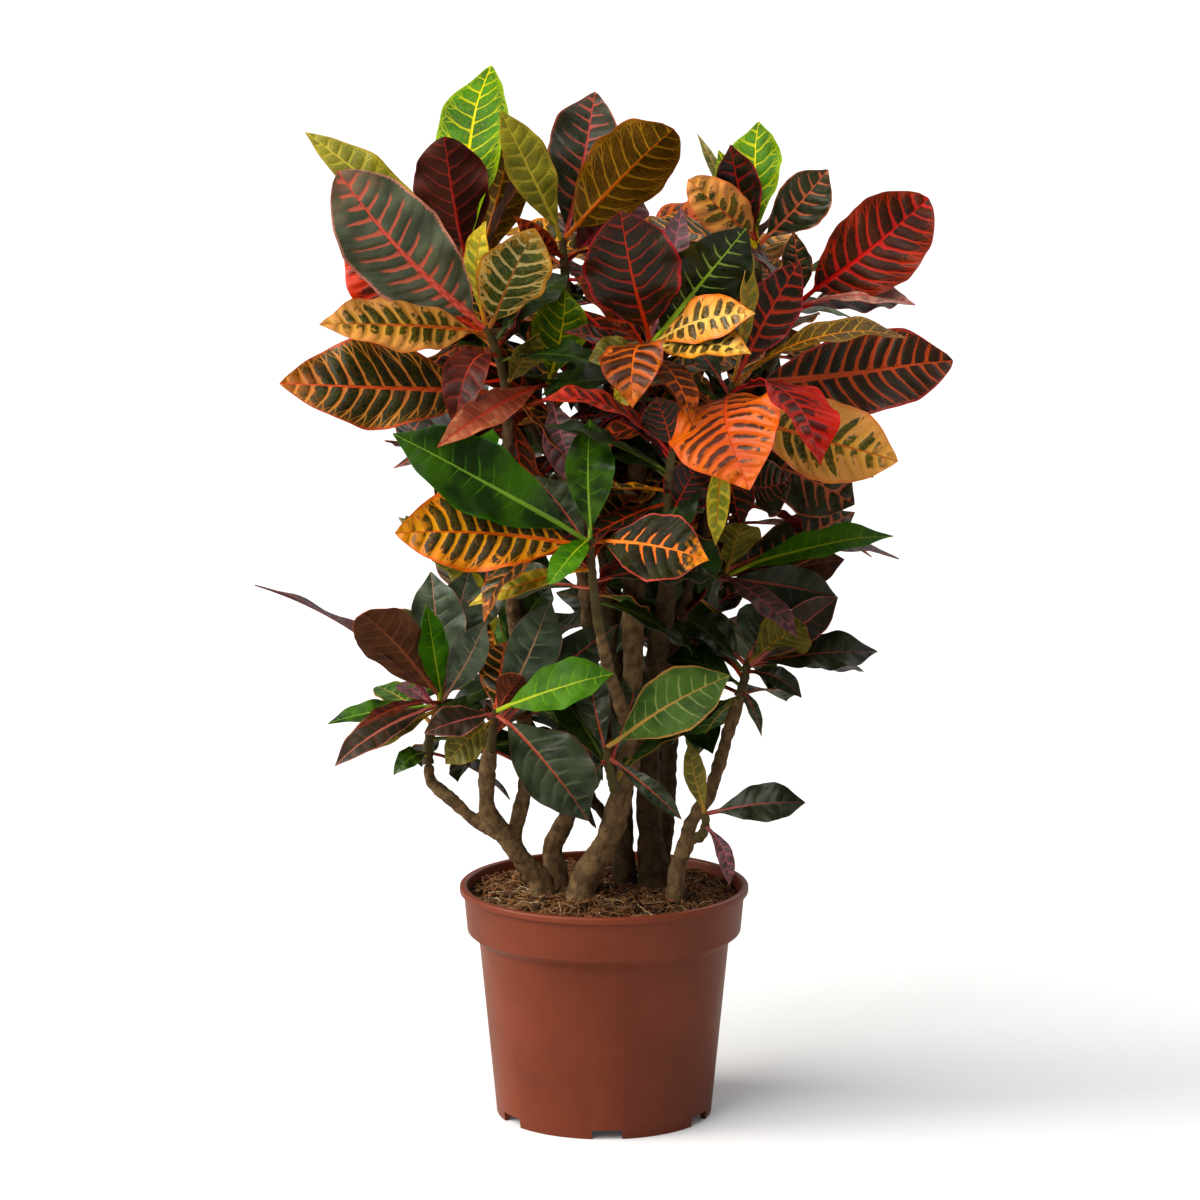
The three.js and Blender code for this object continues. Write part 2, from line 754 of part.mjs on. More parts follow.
// The height of the soil: a low mound with crumbs
function soilHeight(x, y) {
  const share = Math.hypot(x, y) / soilRings.at(-1);
  const crumbs = Math.sin(x / 7 + 1.3) * Math.cos(y / 6) + 0.6 * Math.sin(x / 3.1 - y / 4.3);
  return soilEdgeHeight + soilMound * (1 - share * share) + soilBump * crumbs;
}

function soilRing(radius, heightAt) {
  const ring = [];
  for (let k = 0; k < potSegments; k += 1) {
    const turn = (2 * Math.PI * k) / potSegments;
    const x = radius * Math.cos(turn);
    const y = radius * Math.sin(turn);
    ring.push(new THREE.Vector3(x, y, heightAt(x, y)));
  }
  return ring;
}

function soil() {
  const wall = innerWall.slice(0, 3).map(([radius, height], i) => {
    const lift = i === 0 ? seatGap : 0;
    return soilRing(radius - seatGap, () => height + lift);
  });
  const top = [...soilRings].reverse();
  let solid = skin([...wall, ...top.map((radius) => soilRing(radius, soilHeight))]);
  for (const [[startRadius, endRadius, points]] of Object.values(stems)) {
    solid = solid.subtract(branchTube([startRadius, endRadius, points], stemHoleGap));
  }
  return solid;
}

const croton = new THREE.Group();
croton.add(meshOf(pot(), "pot", "pot"));
croton.add(meshOf(soil(), "soil", "soil"));
for (const [name, branches] of Object.entries(stems)) {
  croton.add(meshOf(stem(branches), name, "wood"));
}
const directions = seatDirections();
for (const [name, row] of Object.entries(shoots)) {
  croton.add(meshOf(shoot(row, directions[name]), `shoot_${name}`, shootFinish[name]));
}
for (const [name, row] of Object.entries(backShoots)) {
  const leaves = backLeaves(row);
  croton.add(meshOf(shoot({ ...row, leaves }, directions[name]), `shoot_${name}`, shootFinish[name]));
}

export default croton;
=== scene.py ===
"""A potted croton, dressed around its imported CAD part.

The tables of shoots, leaves and stems are in millimetres, as the part is drawn. What is built
from them is in metres. The upper face of a leaf looks the way that its row says.
"""

import logging
import math
import random
from collections.abc import Callable
from dataclasses import astuple, dataclass
from enum import Enum
from functools import reduce

import bpy
import numpy as np
from bpy.types import ID, Material, Mesh, Node, NodeSocket, NodeTree, Object, bpy_prop_collection
from mathutils import Matrix, Vector, noise


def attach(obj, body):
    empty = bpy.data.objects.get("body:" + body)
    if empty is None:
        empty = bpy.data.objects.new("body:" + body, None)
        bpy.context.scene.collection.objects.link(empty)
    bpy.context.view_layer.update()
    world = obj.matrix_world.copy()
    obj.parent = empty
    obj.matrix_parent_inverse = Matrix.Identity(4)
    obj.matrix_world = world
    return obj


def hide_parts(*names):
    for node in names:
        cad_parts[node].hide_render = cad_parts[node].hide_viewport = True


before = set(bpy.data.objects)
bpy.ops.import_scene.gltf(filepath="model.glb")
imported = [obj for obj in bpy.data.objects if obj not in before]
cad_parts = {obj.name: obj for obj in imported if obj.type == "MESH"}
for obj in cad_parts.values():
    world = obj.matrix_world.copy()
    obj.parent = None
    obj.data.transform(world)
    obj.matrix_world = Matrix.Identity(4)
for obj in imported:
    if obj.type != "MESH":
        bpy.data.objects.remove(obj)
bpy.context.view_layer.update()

LOG = logging.getLogger("potted_croton")
MM = 0.001
FULL_TURN = 2 * math.pi
Point = tuple[float, float, float]
Array = np.ndarray


@dataclass(frozen=True)
class LeafFinish:
    """How one face of a leaf is coloured.

    Args:
        ground: Colour between the veins, near the midrib.
        ground_far: Colour that the ground drifts to in patches.
        vein: Colour of the side veins near the midrib.
        vein_far: Colour of the side veins near the margin.
        midrib: Colour of the midrib and of the stalk.
        margin: Colour of the outermost edge.
        field: Colour of the blade outside the ground's reach, and of the tip.
        share: Share of the vein spacing that a vein covers near the midrib.
        share_far: The same near the margin.
        run: How far out the shortest side veins run, as a share of the half width.
        reach: How far out the ground goes, as a share of the half width.
        rib: Half width of the midrib, as a share of the leaf's length.
        edge: Width of the margin, as a share of the half width.
        net: How strongly the fine network between the veins shows.
        tip: How much of the tip takes the field's colour.
        rough: Roughness of the face.
        back: The name of the other face's colouring.
    """

    ground: str
    ground_far: str
    vein: str
    vein_far: str
    midrib: str
    margin: str
    field: str
    share: float
    share_far: float
    run: float
    reach: float
    rib: float
    edge: float
    net: float
    tip: float
    rough: float
    back: str


class Tint(Enum):
    """The colourings of a leaf's face."""

    ROSE = LeafFinish(
        "#1e2814", "#2c3420", "#b45c48", "#8c4e3c", "#d0604c", "#a45a46", "#84463a",
        0.25, 0.12, 0.5, 2.0, 0.0146, 0.04, 0.2, 0.1, 0.3, "MAROON")
    AMBER = LeafFinish(
        "#2c380c", "#4c4a10", "#e0a050", "#e09a58", "#d86c40", "#dc8450", "#e0985c",
        0.36, 0.58, 1.0, 0.66, 0.0146, 0.07, 0.4, 0.9, 0.38, "TAN")
    EMBER = LeafFinish(
        "#161f0a", "#283210", "#ce8446", "#cc8c42", "#d8683e", "#b45a34", "#c8742e",
        0.25, 0.16, 0.92, 1.36, 0.0159, 0.05, 0.22, 0.5, 0.34, "MAROON")
    SCARLET = LeafFinish(
        "#54180f", "#3a1810", "#c23a22", "#ca3a20", "#d2482c", "#d0422a", "#c84224",
        0.3, 0.5, 0.9, 0.7, 0.0134, 0.09, 0.3, 0.7, 0.36, "CLARET")
    CITRON = LeafFinish(
        "#74842a", "#a49630", "#c4b440", "#c8b440", "#cc8236", "#c89a3c", "#c4ac3c",
        0.28, 0.36, 0.9, 2.0, 0.0134, 0.06, 0.5, 0.4, 0.38, "OLIVE_LIME")
    CREAM = LeafFinish(
        "#34480e", "#4c5c18", "#dcc88a", "#e0bc74", "#c87848", "#d08a3c", "#dc9840",
        0.2, 0.22, 1.0, 1.08, 0.0134, 0.06, 0.35, 0.85, 0.4, "CITRON")
    CLARET = LeafFinish(
        "#34110f", "#4e1c1a", "#722624", "#682220", "#ac3432", "#802624", "#602020",
        0.24, 0.16, 0.8, 2.0, 0.0134, 0.04, 0.3, 0.1, 0.4, "CLARET")
    OLIVE = LeafFinish(
        "#4c4e1e", "#625e24", "#8c7e34", "#84762e", "#a47e36", "#786a2c", "#6e6428",
        0.18, 0.14, 0.8, 2.0, 0.0134, 0.04, 0.4, 0.1, 0.42, "OLIVE")
    MAROON = LeafFinish(
        "#371710", "#48200f", "#64301a", "#582818", "#943c2c", "#562619", "#442014",
        0.2, 0.12, 0.8, 2.0, 0.0159, 0.04, 0.35, 0.1, 0.44, "DUSK")
    LIME = LeafFinish(
        "#2a5400", "#3e6e06", "#a8a426", "#909a1e", "#ccbe2c", "#7e981c", "#70901a",
        0.17, 0.11, 0.85, 2.0, 0.0165, 0.05, 0.35, 0.15, 0.56, "OLIVE_LIME")
    OLIVE_LIME = LeafFinish(
        "#6e7022", "#86822a", "#b0a840", "#a89c38", "#ccba4a", "#a48e34", "#988830",
        0.2, 0.14, 0.85, 2.0, 0.0146, 0.05, 0.5, 0.2, 0.4, "OLIVE_LIME")
    TAN = LeafFinish(
        "#46330c", "#584010", "#a8802e", "#96702a", "#c4702e", "#8a5a22", "#7c5218",
        0.16, 0.1, 0.95, 2.0, 0.0159, 0.05, 0.35, 0.1, 0.4, "OLIVE")
    CORAL = LeafFinish(
        "#420f08", "#4c160a", "#a0341e", "#aa4424", "#b8401e", "#aa3a20", "#b04826",
        0.6, 0.74, 1.0, 0.94, 0.0146, 0.07, 0.12, 0.7, 0.38, "CLARET")
    CRIMSON = LeafFinish(
        "#10110a", "#1e1e0e", "#8e2826", "#702220", "#b8382a", "#8a262c", "#762424",
        0.17, 0.1, 0.7, 2.0, 0.0152, 0.05, 0.2, 0.15, 0.34, "CLARET")
    RUBY = LeafFinish(
        "#24140a", "#341c0a", "#a03a2c", "#943820", "#b03a28", "#70301e", "#5c2812",
        0.27, 0.19, 0.92, 1.04, 0.0165, 0.05, 0.25, 0.3, 0.47, "CLARET")
    SHADE = LeafFinish(
        "#14240a", "#1f320e", "#2c4414", "#2c4212", "#4c5c20", "#26380f", "#1c2c0c",
        0.12, 0.06, 0.36, 2.0, 0.0146, 0.03, 0.12, 0.05, 0.32, "SHADE")
    BROWN = LeafFinish(
        "#4c3020", "#5a3a26", "#6c4630", "#684430", "#8c543a", "#5e3e2a", "#54341f",
        0.16, 0.1, 0.8, 2.0, 0.0152, 0.03, 0.25, 0.1, 0.44, "DUSK")
    WINE = LeafFinish(
        "#2a100e", "#38160f", "#6a2222", "#581c1c", "#9c2c30", "#541a1c", "#44160f",
        0.16, 0.1, 0.8, 2.0, 0.0165, 0.03, 0.2, 0.1, 0.4, "DUSK")
    FLAME = LeafFinish(
        "#10180a", "#1c240c", "#e07840", "#cc6a38", "#ec8848", "#a84a42", "#e4903c",
        0.26, 0.1, 0.26, 2.0, 0.017, 0.035, 0.1, 0.9, 0.5, "ROSE")
    PLUM = LeafFinish(
        "#28261c", "#3a2e22", "#503428", "#4a2c22", "#b8625a", "#9c5a50", "#402820",
        0.17, 0.1, 0.6, 2.0, 0.0159, 0.06, 0.16, 0.1, 0.36, "CLARET")
    BLUSH = LeafFinish(
        "#3e4a38", "#58624e", "#cc6a58", "#b46450", "#e2685a", "#c08070", "#b86a58",
        0.3, 0.16, 0.46, 2.0, 0.018, 0.04, 0.1, 0.25, 0.28, "MAROON")
    PINK = LeafFinish(
        "#8c6058", "#b88478", "#b05a54", "#c08a80", "#b04848", "#a06058", "#c89088",
        0.22, 0.2, 0.8, 0.9, 0.0146, 0.04, 0.1, 0.9, 0.44, "CLARET")
    SLATE = LeafFinish(
        "#2e3c2e", "#505e4c", "#646c56", "#58644c", "#b08468", "#6a5444", "#4c5846",
        0.16, 0.09, 0.4, 2.0, 0.0134, 0.03, 0.1, 0.05, 0.3, "OLIVE")
    RUST = LeafFinish(
        "#36180e", "#482012", "#ae4e28", "#a64824", "#d85e2c", "#8a3018", "#c8642e",
        0.32, 0.38, 0.95, 1.15, 0.0152, 0.05, 0.1, 1.0, 0.42, "CLARET")
    DEEP = LeafFinish(
        "#141408", "#261a0c", "#b24230", "#a43c2c", "#c24a38", "#9a3438", "#5c2014",
        0.3, 0.2, 0.95, 1.3, 0.017, 0.06, 0.12, 0.25, 0.4, "CLARET")
    SALMON = LeafFinish(
        "#843c2a", "#a05a40", "#a04a38", "#b4684c", "#b84836", "#b06044", "#c0805c",
        0.18, 0.16, 0.9, 1.1, 0.0146, 0.05, 0.1, 0.9, 0.42, "SALMON")
    NIGHT = LeafFinish(
        "#161c0e", "#242c18", "#323a22", "#2c321e", "#8c4438", "#3c2c1e", "#1c2010",
        0.14, 0.08, 0.4, 2.0, 0.0134, 0.03, 0.1, 0.05, 0.32, "MAROON")
    GLOSS = LeafFinish(
        "#182e06", "#365810", "#426c18", "#386414", "#7ca03c", "#30600f", "#284c0c",
        0.12, 0.06, 0.3, 2.0, 0.0118, 0.03, 0.1, 0.05, 0.3, "OLIVE")
    GLOSS_DARK = LeafFinish(
        "#101a08", "#1c2a0c", "#8ca450", "#33421a", "#9cc040", "#3c3a18", "#1c2a0c",
        0.16, 0.07, 0.42, 2.0, 0.0171, 0.04, 0.14, 0.05, 0.26, "OLIVE")
    STRIPE = LeafFinish(
        "#2a260f", "#3c3414", "#e4b862", "#dc9648", "#e8c468", "#cc7434", "#dc9c50",
        0.4, 0.44, 0.95, 0.86, 0.0146, 0.08, 0.35, 0.8, 0.36, "TAN")
    MAUVE = LeafFinish(
        "#46363a", "#5c464a", "#8c525a", "#80484e", "#a25c62", "#845056", "#6a464c",
        0.26, 0.16, 0.85, 2.0, 0.0134, 0.05, 0.25, 0.15, 0.38, "CLARET")
    BLAZE = LeafFinish(
        "#38140a", "#46190c", "#b84422", "#c4562a", "#c83820", "#c44e2a", "#cc602e",
        0.58, 0.7, 1.0, 0.9, 0.0134, 0.07, 0.1, 1.0, 0.38, "CORAL")
    AMBER_DARK = LeafFinish(
        "#25230f", "#353514", "#d89a2c", "#d68828", "#d87230", "#d06c28", "#d89030",
        0.28, 0.34, 1.0, 0.98, 0.0134, 0.08, 0.25, 0.95, 0.34, "TAN")
    BRIGHT = LeafFinish(
        "#306400", "#447804", "#5c9018", "#4c8010", "#a8bc3c", "#3e740c", "#387006",
        0.12, 0.08, 0.55, 2.0, 0.0122, 0.04, 0.12, 0.05, 0.52, "OLIVE_LIME")
    DUSK = LeafFinish(
        "#263020", "#3c4632", "#525a42", "#484e38", "#b05444", "#4a3826", "#303422",
        0.18, 0.09, 0.4, 2.0, 0.0134, 0.03, 0.1, 0.05, 0.3, "MAROON")
    SAGE = LeafFinish(
        "#2c4a18", "#426228", "#7a8a50", "#687a42", "#ac8c4a", "#a07c44", "#4a5c28",
        0.13, 0.08, 0.6, 2.0, 0.0134, 0.05, 0.2, 0.1, 0.46, "OLIVE")


@dataclass(frozen=True)
class LeafRow:
    """One leaf of a shoot.

    Args:
        below: How far below the crown it grows.
        tip: Where its tip is.
        width: Its greatest width.
        faces: The way its upper face looks.
        arch: How far its midrib bows up.
        tint: The colouring of the face that shows from the front.
        blunt: How round its tip is, from 0 to 1.
    """

    below: float
    tip: Point
    width: float
    faces: Point
    arch: float
    tint: Tint
    blunt: float = 0.15


@dataclass(frozen=True)
class ShootRow:
    """A leafy shoot that shows from the front: its slot, its seat, its crown, its leaves."""

    name: str
    slot: str
    seat: Point
    crown: Point
    leaves: tuple[LeafRow, ...]


@dataclass(frozen=True)
class BackRow:
    """A leafy shoot behind, whose leaves follow a rule: two numbers move each of them."""

    name: str
    slot: str
    seat: Point
    crown: Point
    looks: float
    steepest: float
    seed: int
    turns: tuple[int, ...]
    lifts: tuple[int, ...]


@dataclass(frozen=True)
class BranchRow:
    """A branch: its radius at both ends, the shoot that it carries and its points."""

    start_radius: float
    end_radius: float
    carries: str
    points: tuple[Point, ...]


@dataclass(frozen=True)
class StemRow:
    """A woody stem that stands in the soil, with its branches."""

    name: str
    branches: tuple[BranchRow, ...]


def rows_of(kind: type, *rows: tuple) -> tuple:
    """Returns a table's plain rows as instances of their kind."""
    return tuple(kind(*row) for row in rows)


FRONT_SHOOTS: tuple[ShootRow, ...] = (
    ShootRow("left_top", "ember", (-68, -45, 524), (-83, -70, 586), rows_of(LeafRow,
        (5, (-182, -123, 699), 70, (-3, -10, 2), 10, Tint.BLUSH, 0.8),
        (8, (-195, -130, 595), 50, (-1, -10, 7), 10, Tint.AMBER, 0.4),
        (58, (-225, -100, 550), 70, (0, -10, 5), 12, Tint.EMBER, 0.3),
        (10, (-184, -55, 645), 66, (-2, -10, 2), 8, Tint.SCARLET),
        (0, (-82, -95, 662), 26, (-10, -6, 0), 6, Tint.CITRON),
        (4, (-48, -105, 658), 52, (2, -10, 1), 6, Tint.CREAM, 0.5),
        (25, (-103, -125, 521), 30, (-3, -10, 3), 25, Tint.CLARET),
        (20, (-58, -60, 603), 22, (10, -2, 0), 4, Tint.CLARET),
        (50, (-45, -75, 582), 22, (3, -10, 0), 4, Tint.OLIVE),
    )),
    ShootRow("left_high", "lime", (-79, 0, 564), (-98, 5, 623), rows_of(LeafRow,
        (0, (-112, -15, 714), 56, (1, 10, 1), -6, Tint.WINE, 0.9),
        (10, (-82, 43, 762), 60, (-6, -10, 2), 20, Tint.LIME, 0.3),
        (10, (-213, 25, 714), 36, (-2, -10, 10), 12, Tint.OLIVE_LIME),
        (15, (-64, 30, 715), 42, (2, 10, 2), 6, Tint.TAN),
        (20, (-54, -5, 692), 30, (-10, 0, 8), 4, Tint.MAROON),
    )),
    ShootRow("middle_top", "tan", (-23, 15, 573), (-30, 10, 640), rows_of(LeafRow,
        (5, (-73, -15, 732), 34, (4, -10, 1), 8, Tint.OLIVE_LIME),
        (3, (49, -10, 720), 58, (0, 10, 2), 8, Tint.TAN, 1.0),
        (10, (-7, 70, 741), 50, (0, -10, 3), 6, Tint.ROSE, 0.35),
        (20, (26, 70, 668), 50, (3, -10, 5), 6, Tint.CLARET),
        (15, (-63, -30, 659), 16, (-3, -10, 3), 8, Tint.CORAL),
    )),
    ShootRow("centre_front", "crimson", (25, -70, 520), (32, -90, 578), rows_of(LeafRow,
        (0, (11, -128, 672), 68, (-1, -10, 2), 8, Tint.CRIMSON, 0.6),
        (3, (97, -125, 660), 54, (2, -10, 1), 6, Tint.GLOSS_DARK, 0.6),
        (6, (19, -165, 543), 44, (-2, -7, 9), 20, Tint.RUST),
        (20, (62, -166, 530), 26, (3, -9, 5), 20, Tint.RUST),
        (4, (102, -160, 606), 34, (1, -10, 6), 8, Tint.STRIPE),
        (8, (99, -165, 581), 34, (1, -10, 9), 8, Tint.STRIPE),
        (30, (9, -120, 533), 18, (-3, -10, 3), 8, Tint.CITRON),
        (12, (-11, -110, 568), 26, (-1, -10, 6), 6, Tint.OLIVE),
        (10, (54, -40, 668), 22, (0, -10, 2), 10, Tint.MAUVE),
        (12, (35, -50, 647), 40, (2, -10, 3), 4, Tint.ROSE),
    )),
    ShootRow("right_front", "blaze", (82, -80, 500), (89, -100, 550), rows_of(LeafRow,
        (0, (136, -74, 632), 38, (3, -10, 0), 0, Tint.DEEP, 0.2),
        (2, (208, -125, 588), 36, (2, -4, 10), 18, Tint.TAN),
        (4, (246, -60, 563), 60, (1, -10, 4), 8, Tint.DEEP, 0.6),
        (6, (147, -195, 509), 56, (5, -7, 6), 26, Tint.SCARLET),
        (8, (97, -205.5, 493), 78, (-3, -9, 5), 20, Tint.BLAZE),
        (25, (204, -110, 498), 58, (1, -10, 3), 6, Tint.AMBER, 0.4),
        (0, (97, -110, 653), 24, (10, -5, 0), 6, Tint.CITRON),
        (45, (77, -115, 438), 16, (0, -10, 2), 15, Tint.CITRON),
    )),
    ShootRow("right_top", "amber", (105, 0, 575), (109, 10, 637), rows_of(LeafRow,
        (0, (59, -20, 684), 36, (0, -10, 2), 12, Tint.AMBER, 0.9),
        (5, (109, 30, 722), 44, (-5, -10, 1), 8, Tint.LIME),
        (8, (80, 14, 702), 22, (-2, -10, 1), 4, Tint.LIME),
        (10, (66, 40, 712), 9, (0, -10, 2), 4, Tint.OLIVE),
        (2, (89, -15, 708), 32, (-3, -10, 1), 4, Tint.CRIMSON),
        (4, (159, 10, 689), 38, (1, -10, 2), 6, Tint.ROSE),
    )),
    ShootRow("right_high", "crimson", (117, 0, 545), (140, 5, 596), rows_of(LeafRow,
        (2, (229, -10, 671), 64, (1, -10, 2), 8, Tint.RUBY, 0.9),
        (5, (220, -25, 597), 22, (2, -6, 10), 8, Tint.PINK),
        (8, (217, 20, 596), 40, (1, -5, 10), 6, Tint.CRIMSON),
        (3, (133, -25, 647), 22, (0, -10, 1), 4, Tint.ROSE),
    )),
    ShootRow("centre_low", "crimson", (44, -95, 453), (47, -120, 507), rows_of(LeafRow,
        (0, (35, -133, 545), 34, (0, -10, 2), 4, Tint.CRIMSON),
        (4, (-42, -155, 549), 30, (0, -3, 10), 12, Tint.CORAL),
        (62, (66, -100, 495), 40, (2, -10, 2), 6, Tint.CRIMSON),
    )),
    ShootRow("right_inner", "rose", (94, -10, 432), (102, -30, 493), rows_of(LeafRow,
        (5, (177, -50, 457), 56, (1, -10, 3), 8, Tint.ROSE),
        (30, (131, -60, 476), 46, (2, -10, 1), 6, Tint.ROSE),
    )),
    ShootRow("left_inner", "dusk", (-31, -30, 486), (-40, -40, 541), rows_of(LeafRow,
        (0, (-113, -170, 517), 26, (3, -5, 8), 10, Tint.SALMON),
        (2, (-27, -45, 609), 40, (2, -10, 1), 4, Tint.LIME),
        (8, (-17, -85, 474), 30, (0, -10, 3), 10, Tint.MAUVE),
        (10, (-151, -4, 476), 14, (0, -10, 6), 8, Tint.CRIMSON),
    )),
    ShootRow("front_big", "gloss", (-3, -110, 378), (-10, -130, 445), rows_of(LeafRow,
        (0, (71, -175, 439), 52, (1, -10, 5), 6, Tint.FLAME, 0.0),
        (2, (-144, -158, 524), 56, (1, -10, 5), 8, Tint.GLOSS),
        (4, (-142, -175, 458), 62, (0, -10, 5), 6, Tint.AMBER_DARK, 0.4),
        (10, (-84, -165, 395), 36, (-3, 0.5, 10), 20, Tint.CORAL),
        (20, (-94, -130, 399), 18, (-2, -8, 6), 10, Tint.CITRON),
        (0, (-38, -175, 422), 20, (0, -10, 6), 10, Tint.BRIGHT, 0.8),
        (4, (-10, -115, 527), 34, (1, -10, 1), 4, Tint.GLOSS),
    )),
    ShootRow("right_mid", "bright", (61, -15, 388), (89, -5, 399), rows_of(LeafRow,
        (0, (206, -25, 433), 30, (0, -8, 8), 10, Tint.BRIGHT),
        (4, (214, 20, 408), 22, (1, -2, 10), 14, Tint.MAUVE),
        (2, (97, -40, 443), 34, (0, 10, 2), 4, Tint.OLIVE),
        (6, (139, -55, 363), 22, (2, -9, 6), 12, Tint.MAUVE),
        (8, (175, 30, 405), 40, (0, -10, 6), 0, Tint.BROWN),
        (10, (169, 10, 379), 32, (0, -10, 4), 6, Tint.NIGHT),
        (12, (183, 40, 439), 38, (0, -10, 3), 6, Tint.ROSE),
    )),
    ShootRow("right_low", "dusk", (97, -25, 313), (103, -15, 338), rows_of(LeafRow,
        (2, (197, -4, 343), 40, (1, -7, 10), 2, Tint.NIGHT),
        (5, (190, 25, 324), 30, (1, -5, 10), 8, Tint.NIGHT),
        (3, (145, -35, 368), 40, (0, 10, 3), 6, Tint.OLIVE),
        (0, (119, -5, 380), 40, (1, -10, 2), 4, Tint.DUSK),
        (4, (65, -5, 370), 28, (-2, -10, 4), 4, Tint.DUSK),
        (8, (141, -40, 316), 16, (1, -8, 8), 8, Tint.NIGHT),
        (25, (112, -76, 296), 10, (1, -8, 8), 10, Tint.DUSK),
        (6, (169, 5, 381), 28, (1, -10, 2), 6, Tint.PLUM),
    )),
    ShootRow("front_low", "sage", (8, -60, 253), (1, -72, 286), rows_of(LeafRow,
        (0, (88, -100, 344), 46, (1, -10, 5), 6, Tint.SAGE),
        (6, (55, -90, 238), 14, (0, -10, 5), 8, Tint.DUSK),
        (8, (-20, -75, 256), 20, (0, -10, 3), 6, Tint.DUSK),
    )),
    ShootRow("left_low_front", "bright", (-81, -60, 282), (-77, -75, 313), rows_of(LeafRow,
        (0, (6, -110, 348), 38, (0, -10, 6), 6, Tint.BRIGHT),
        (2, (-10, -120, 244), 54, (2, -10, 6), 16, Tint.DUSK),
        (3, (-126, -110, 305), 26, (-1, -10, 6), 6, Tint.PLUM),
        (8, (-112, -90, 278), 26, (-1, -10, 5), 6, Tint.OLIVE),
        (4, (-57, -78, 340), 24, (0, 10, 2), 3, Tint.MAROON),
        (15, (-38, -50, 389), 38, (2, -10, 3), 6, Tint.SLATE),
        (20, (10, -40, 369), 32, (1, -10, 6), 6, Tint.DUSK),
    )),
    ShootRow("left_low", "maroon", (-126, -35, 266), (-115, -35, 313), rows_of(LeafRow,
        (0, (-170, -91, 387), 44, (-1, 10, 2), 6, Tint.BROWN, 0.9),
        (6, (-124, -20, 404), 40, (0, -10, 2), 4, Tint.SLATE),
        (8, (-97, 10, 400), 38, (1, -10, 2), 4, Tint.SLATE),
        (4, (-126, -56, 386), 24, (6, -9, 1), 4, Tint.BRIGHT),
        (2, (-84, -55, 374), 26, (1, -10, 2), 4, Tint.SLATE),
        (2, (-174, -100, 306), 14, (-2, -7, 8), 8, Tint.MAROON),
        (4, (-190, -90, 278), 24, (-2, -8, 8), 8, Tint.PLUM),
        (8, (-171, -50, 278), 18, (0, -8, 8), 6, Tint.OLIVE),
        (6, (-197, -50, 299), 20, (0, -8, 10), 8, Tint.GLOSS),
        (42, (-150, -60, 264), 16, (0, -8, 8), 10, Tint.GLOSS),
        (8, (-246.1, -68, 403), 24, (0, -2, 10), 14, Tint.MAUVE),
        (9, (-198, 10, 369), 16, (0, -2, 10), 8, Tint.MAUVE),
        (10, (-151, 15, 316), 16, (0, -4, 10), 4, Tint.MAUVE),
    )),
    ShootRow("right_foot", "dusk", (67, -48, 215), (72, -62, 236), rows_of(LeafRow,
        (0, (143, -70, 246), 30, (1, -10, 6), 6, Tint.NIGHT),
        (4, (60, -62, 288), 16, (0, -10, 2), 4, Tint.OLIVE),
        (10, (89, -80, 188), 12, (3, -8, 5), 10, Tint.MAUVE),
    )),
)

BACK_SHOOTS: tuple[BackRow, ...] = (
    BackRow("back_left_high", "ember", (-75, 62, 545), (-95, 80, 600), 150, 50, 0,
            (0, 0, 0, 0, 0, 2, 0), (0, 0, 0, 0, 0, 0, 0)),
    BackRow("back_mid_high", "gloss", (5, 78, 560), (10, 96, 615), 90, 48, 1,
            (0, 0, -3, 0, 0, 0, 0), (0, 0, 0, 0, 0, 3, 0)),
    BackRow("back_right_high", "crimson", (70, 75, 540), (88, 90, 592), 30, 50, 2,
            (0, -3, 0, 0, 0, 0, 0), (0, 0, 0, 0, 0, 0, 0)),
    BackRow("back_left", "gloss", (-78, 66, 395), (-92, 86, 445), 130, 55, 3,
            (0, 0, 0, 0, 0, 6, 0), (0, 0, 0, 2, 0, 0, 0)),
    BackRow("back_mid", "ember", (10, 86, 420), (12, 106, 475), 90, 45, 4,
            (0, 0, 0, 0, 0, 0, 0), (0, 0, 0, 1, 0, 1, 0)),
    BackRow("back_right", "rose", (85, 70, 400), (108, 88, 450), 25, 55, 5,
            (0, 0, 0, 0, 0, 0, 1), (0, 0, 0, 0, 0, 1, 0)),
    BackRow("back_low_left", "dusk", (-60, 60, 285), (-78, 76, 330), 150, 50, 6,
            (1, 0, 0, 0, 0, 0, 0), (0, 1, 0, 0, 0, 0, -1)),
    BackRow("back_low_right", "sage", (40, 70, 290), (52, 88, 335), 50, 50, 7,
            (4, 0, -1, 2, 1, 1, 0), (0, 0, 0, 0, 0, 2, 0)),
)

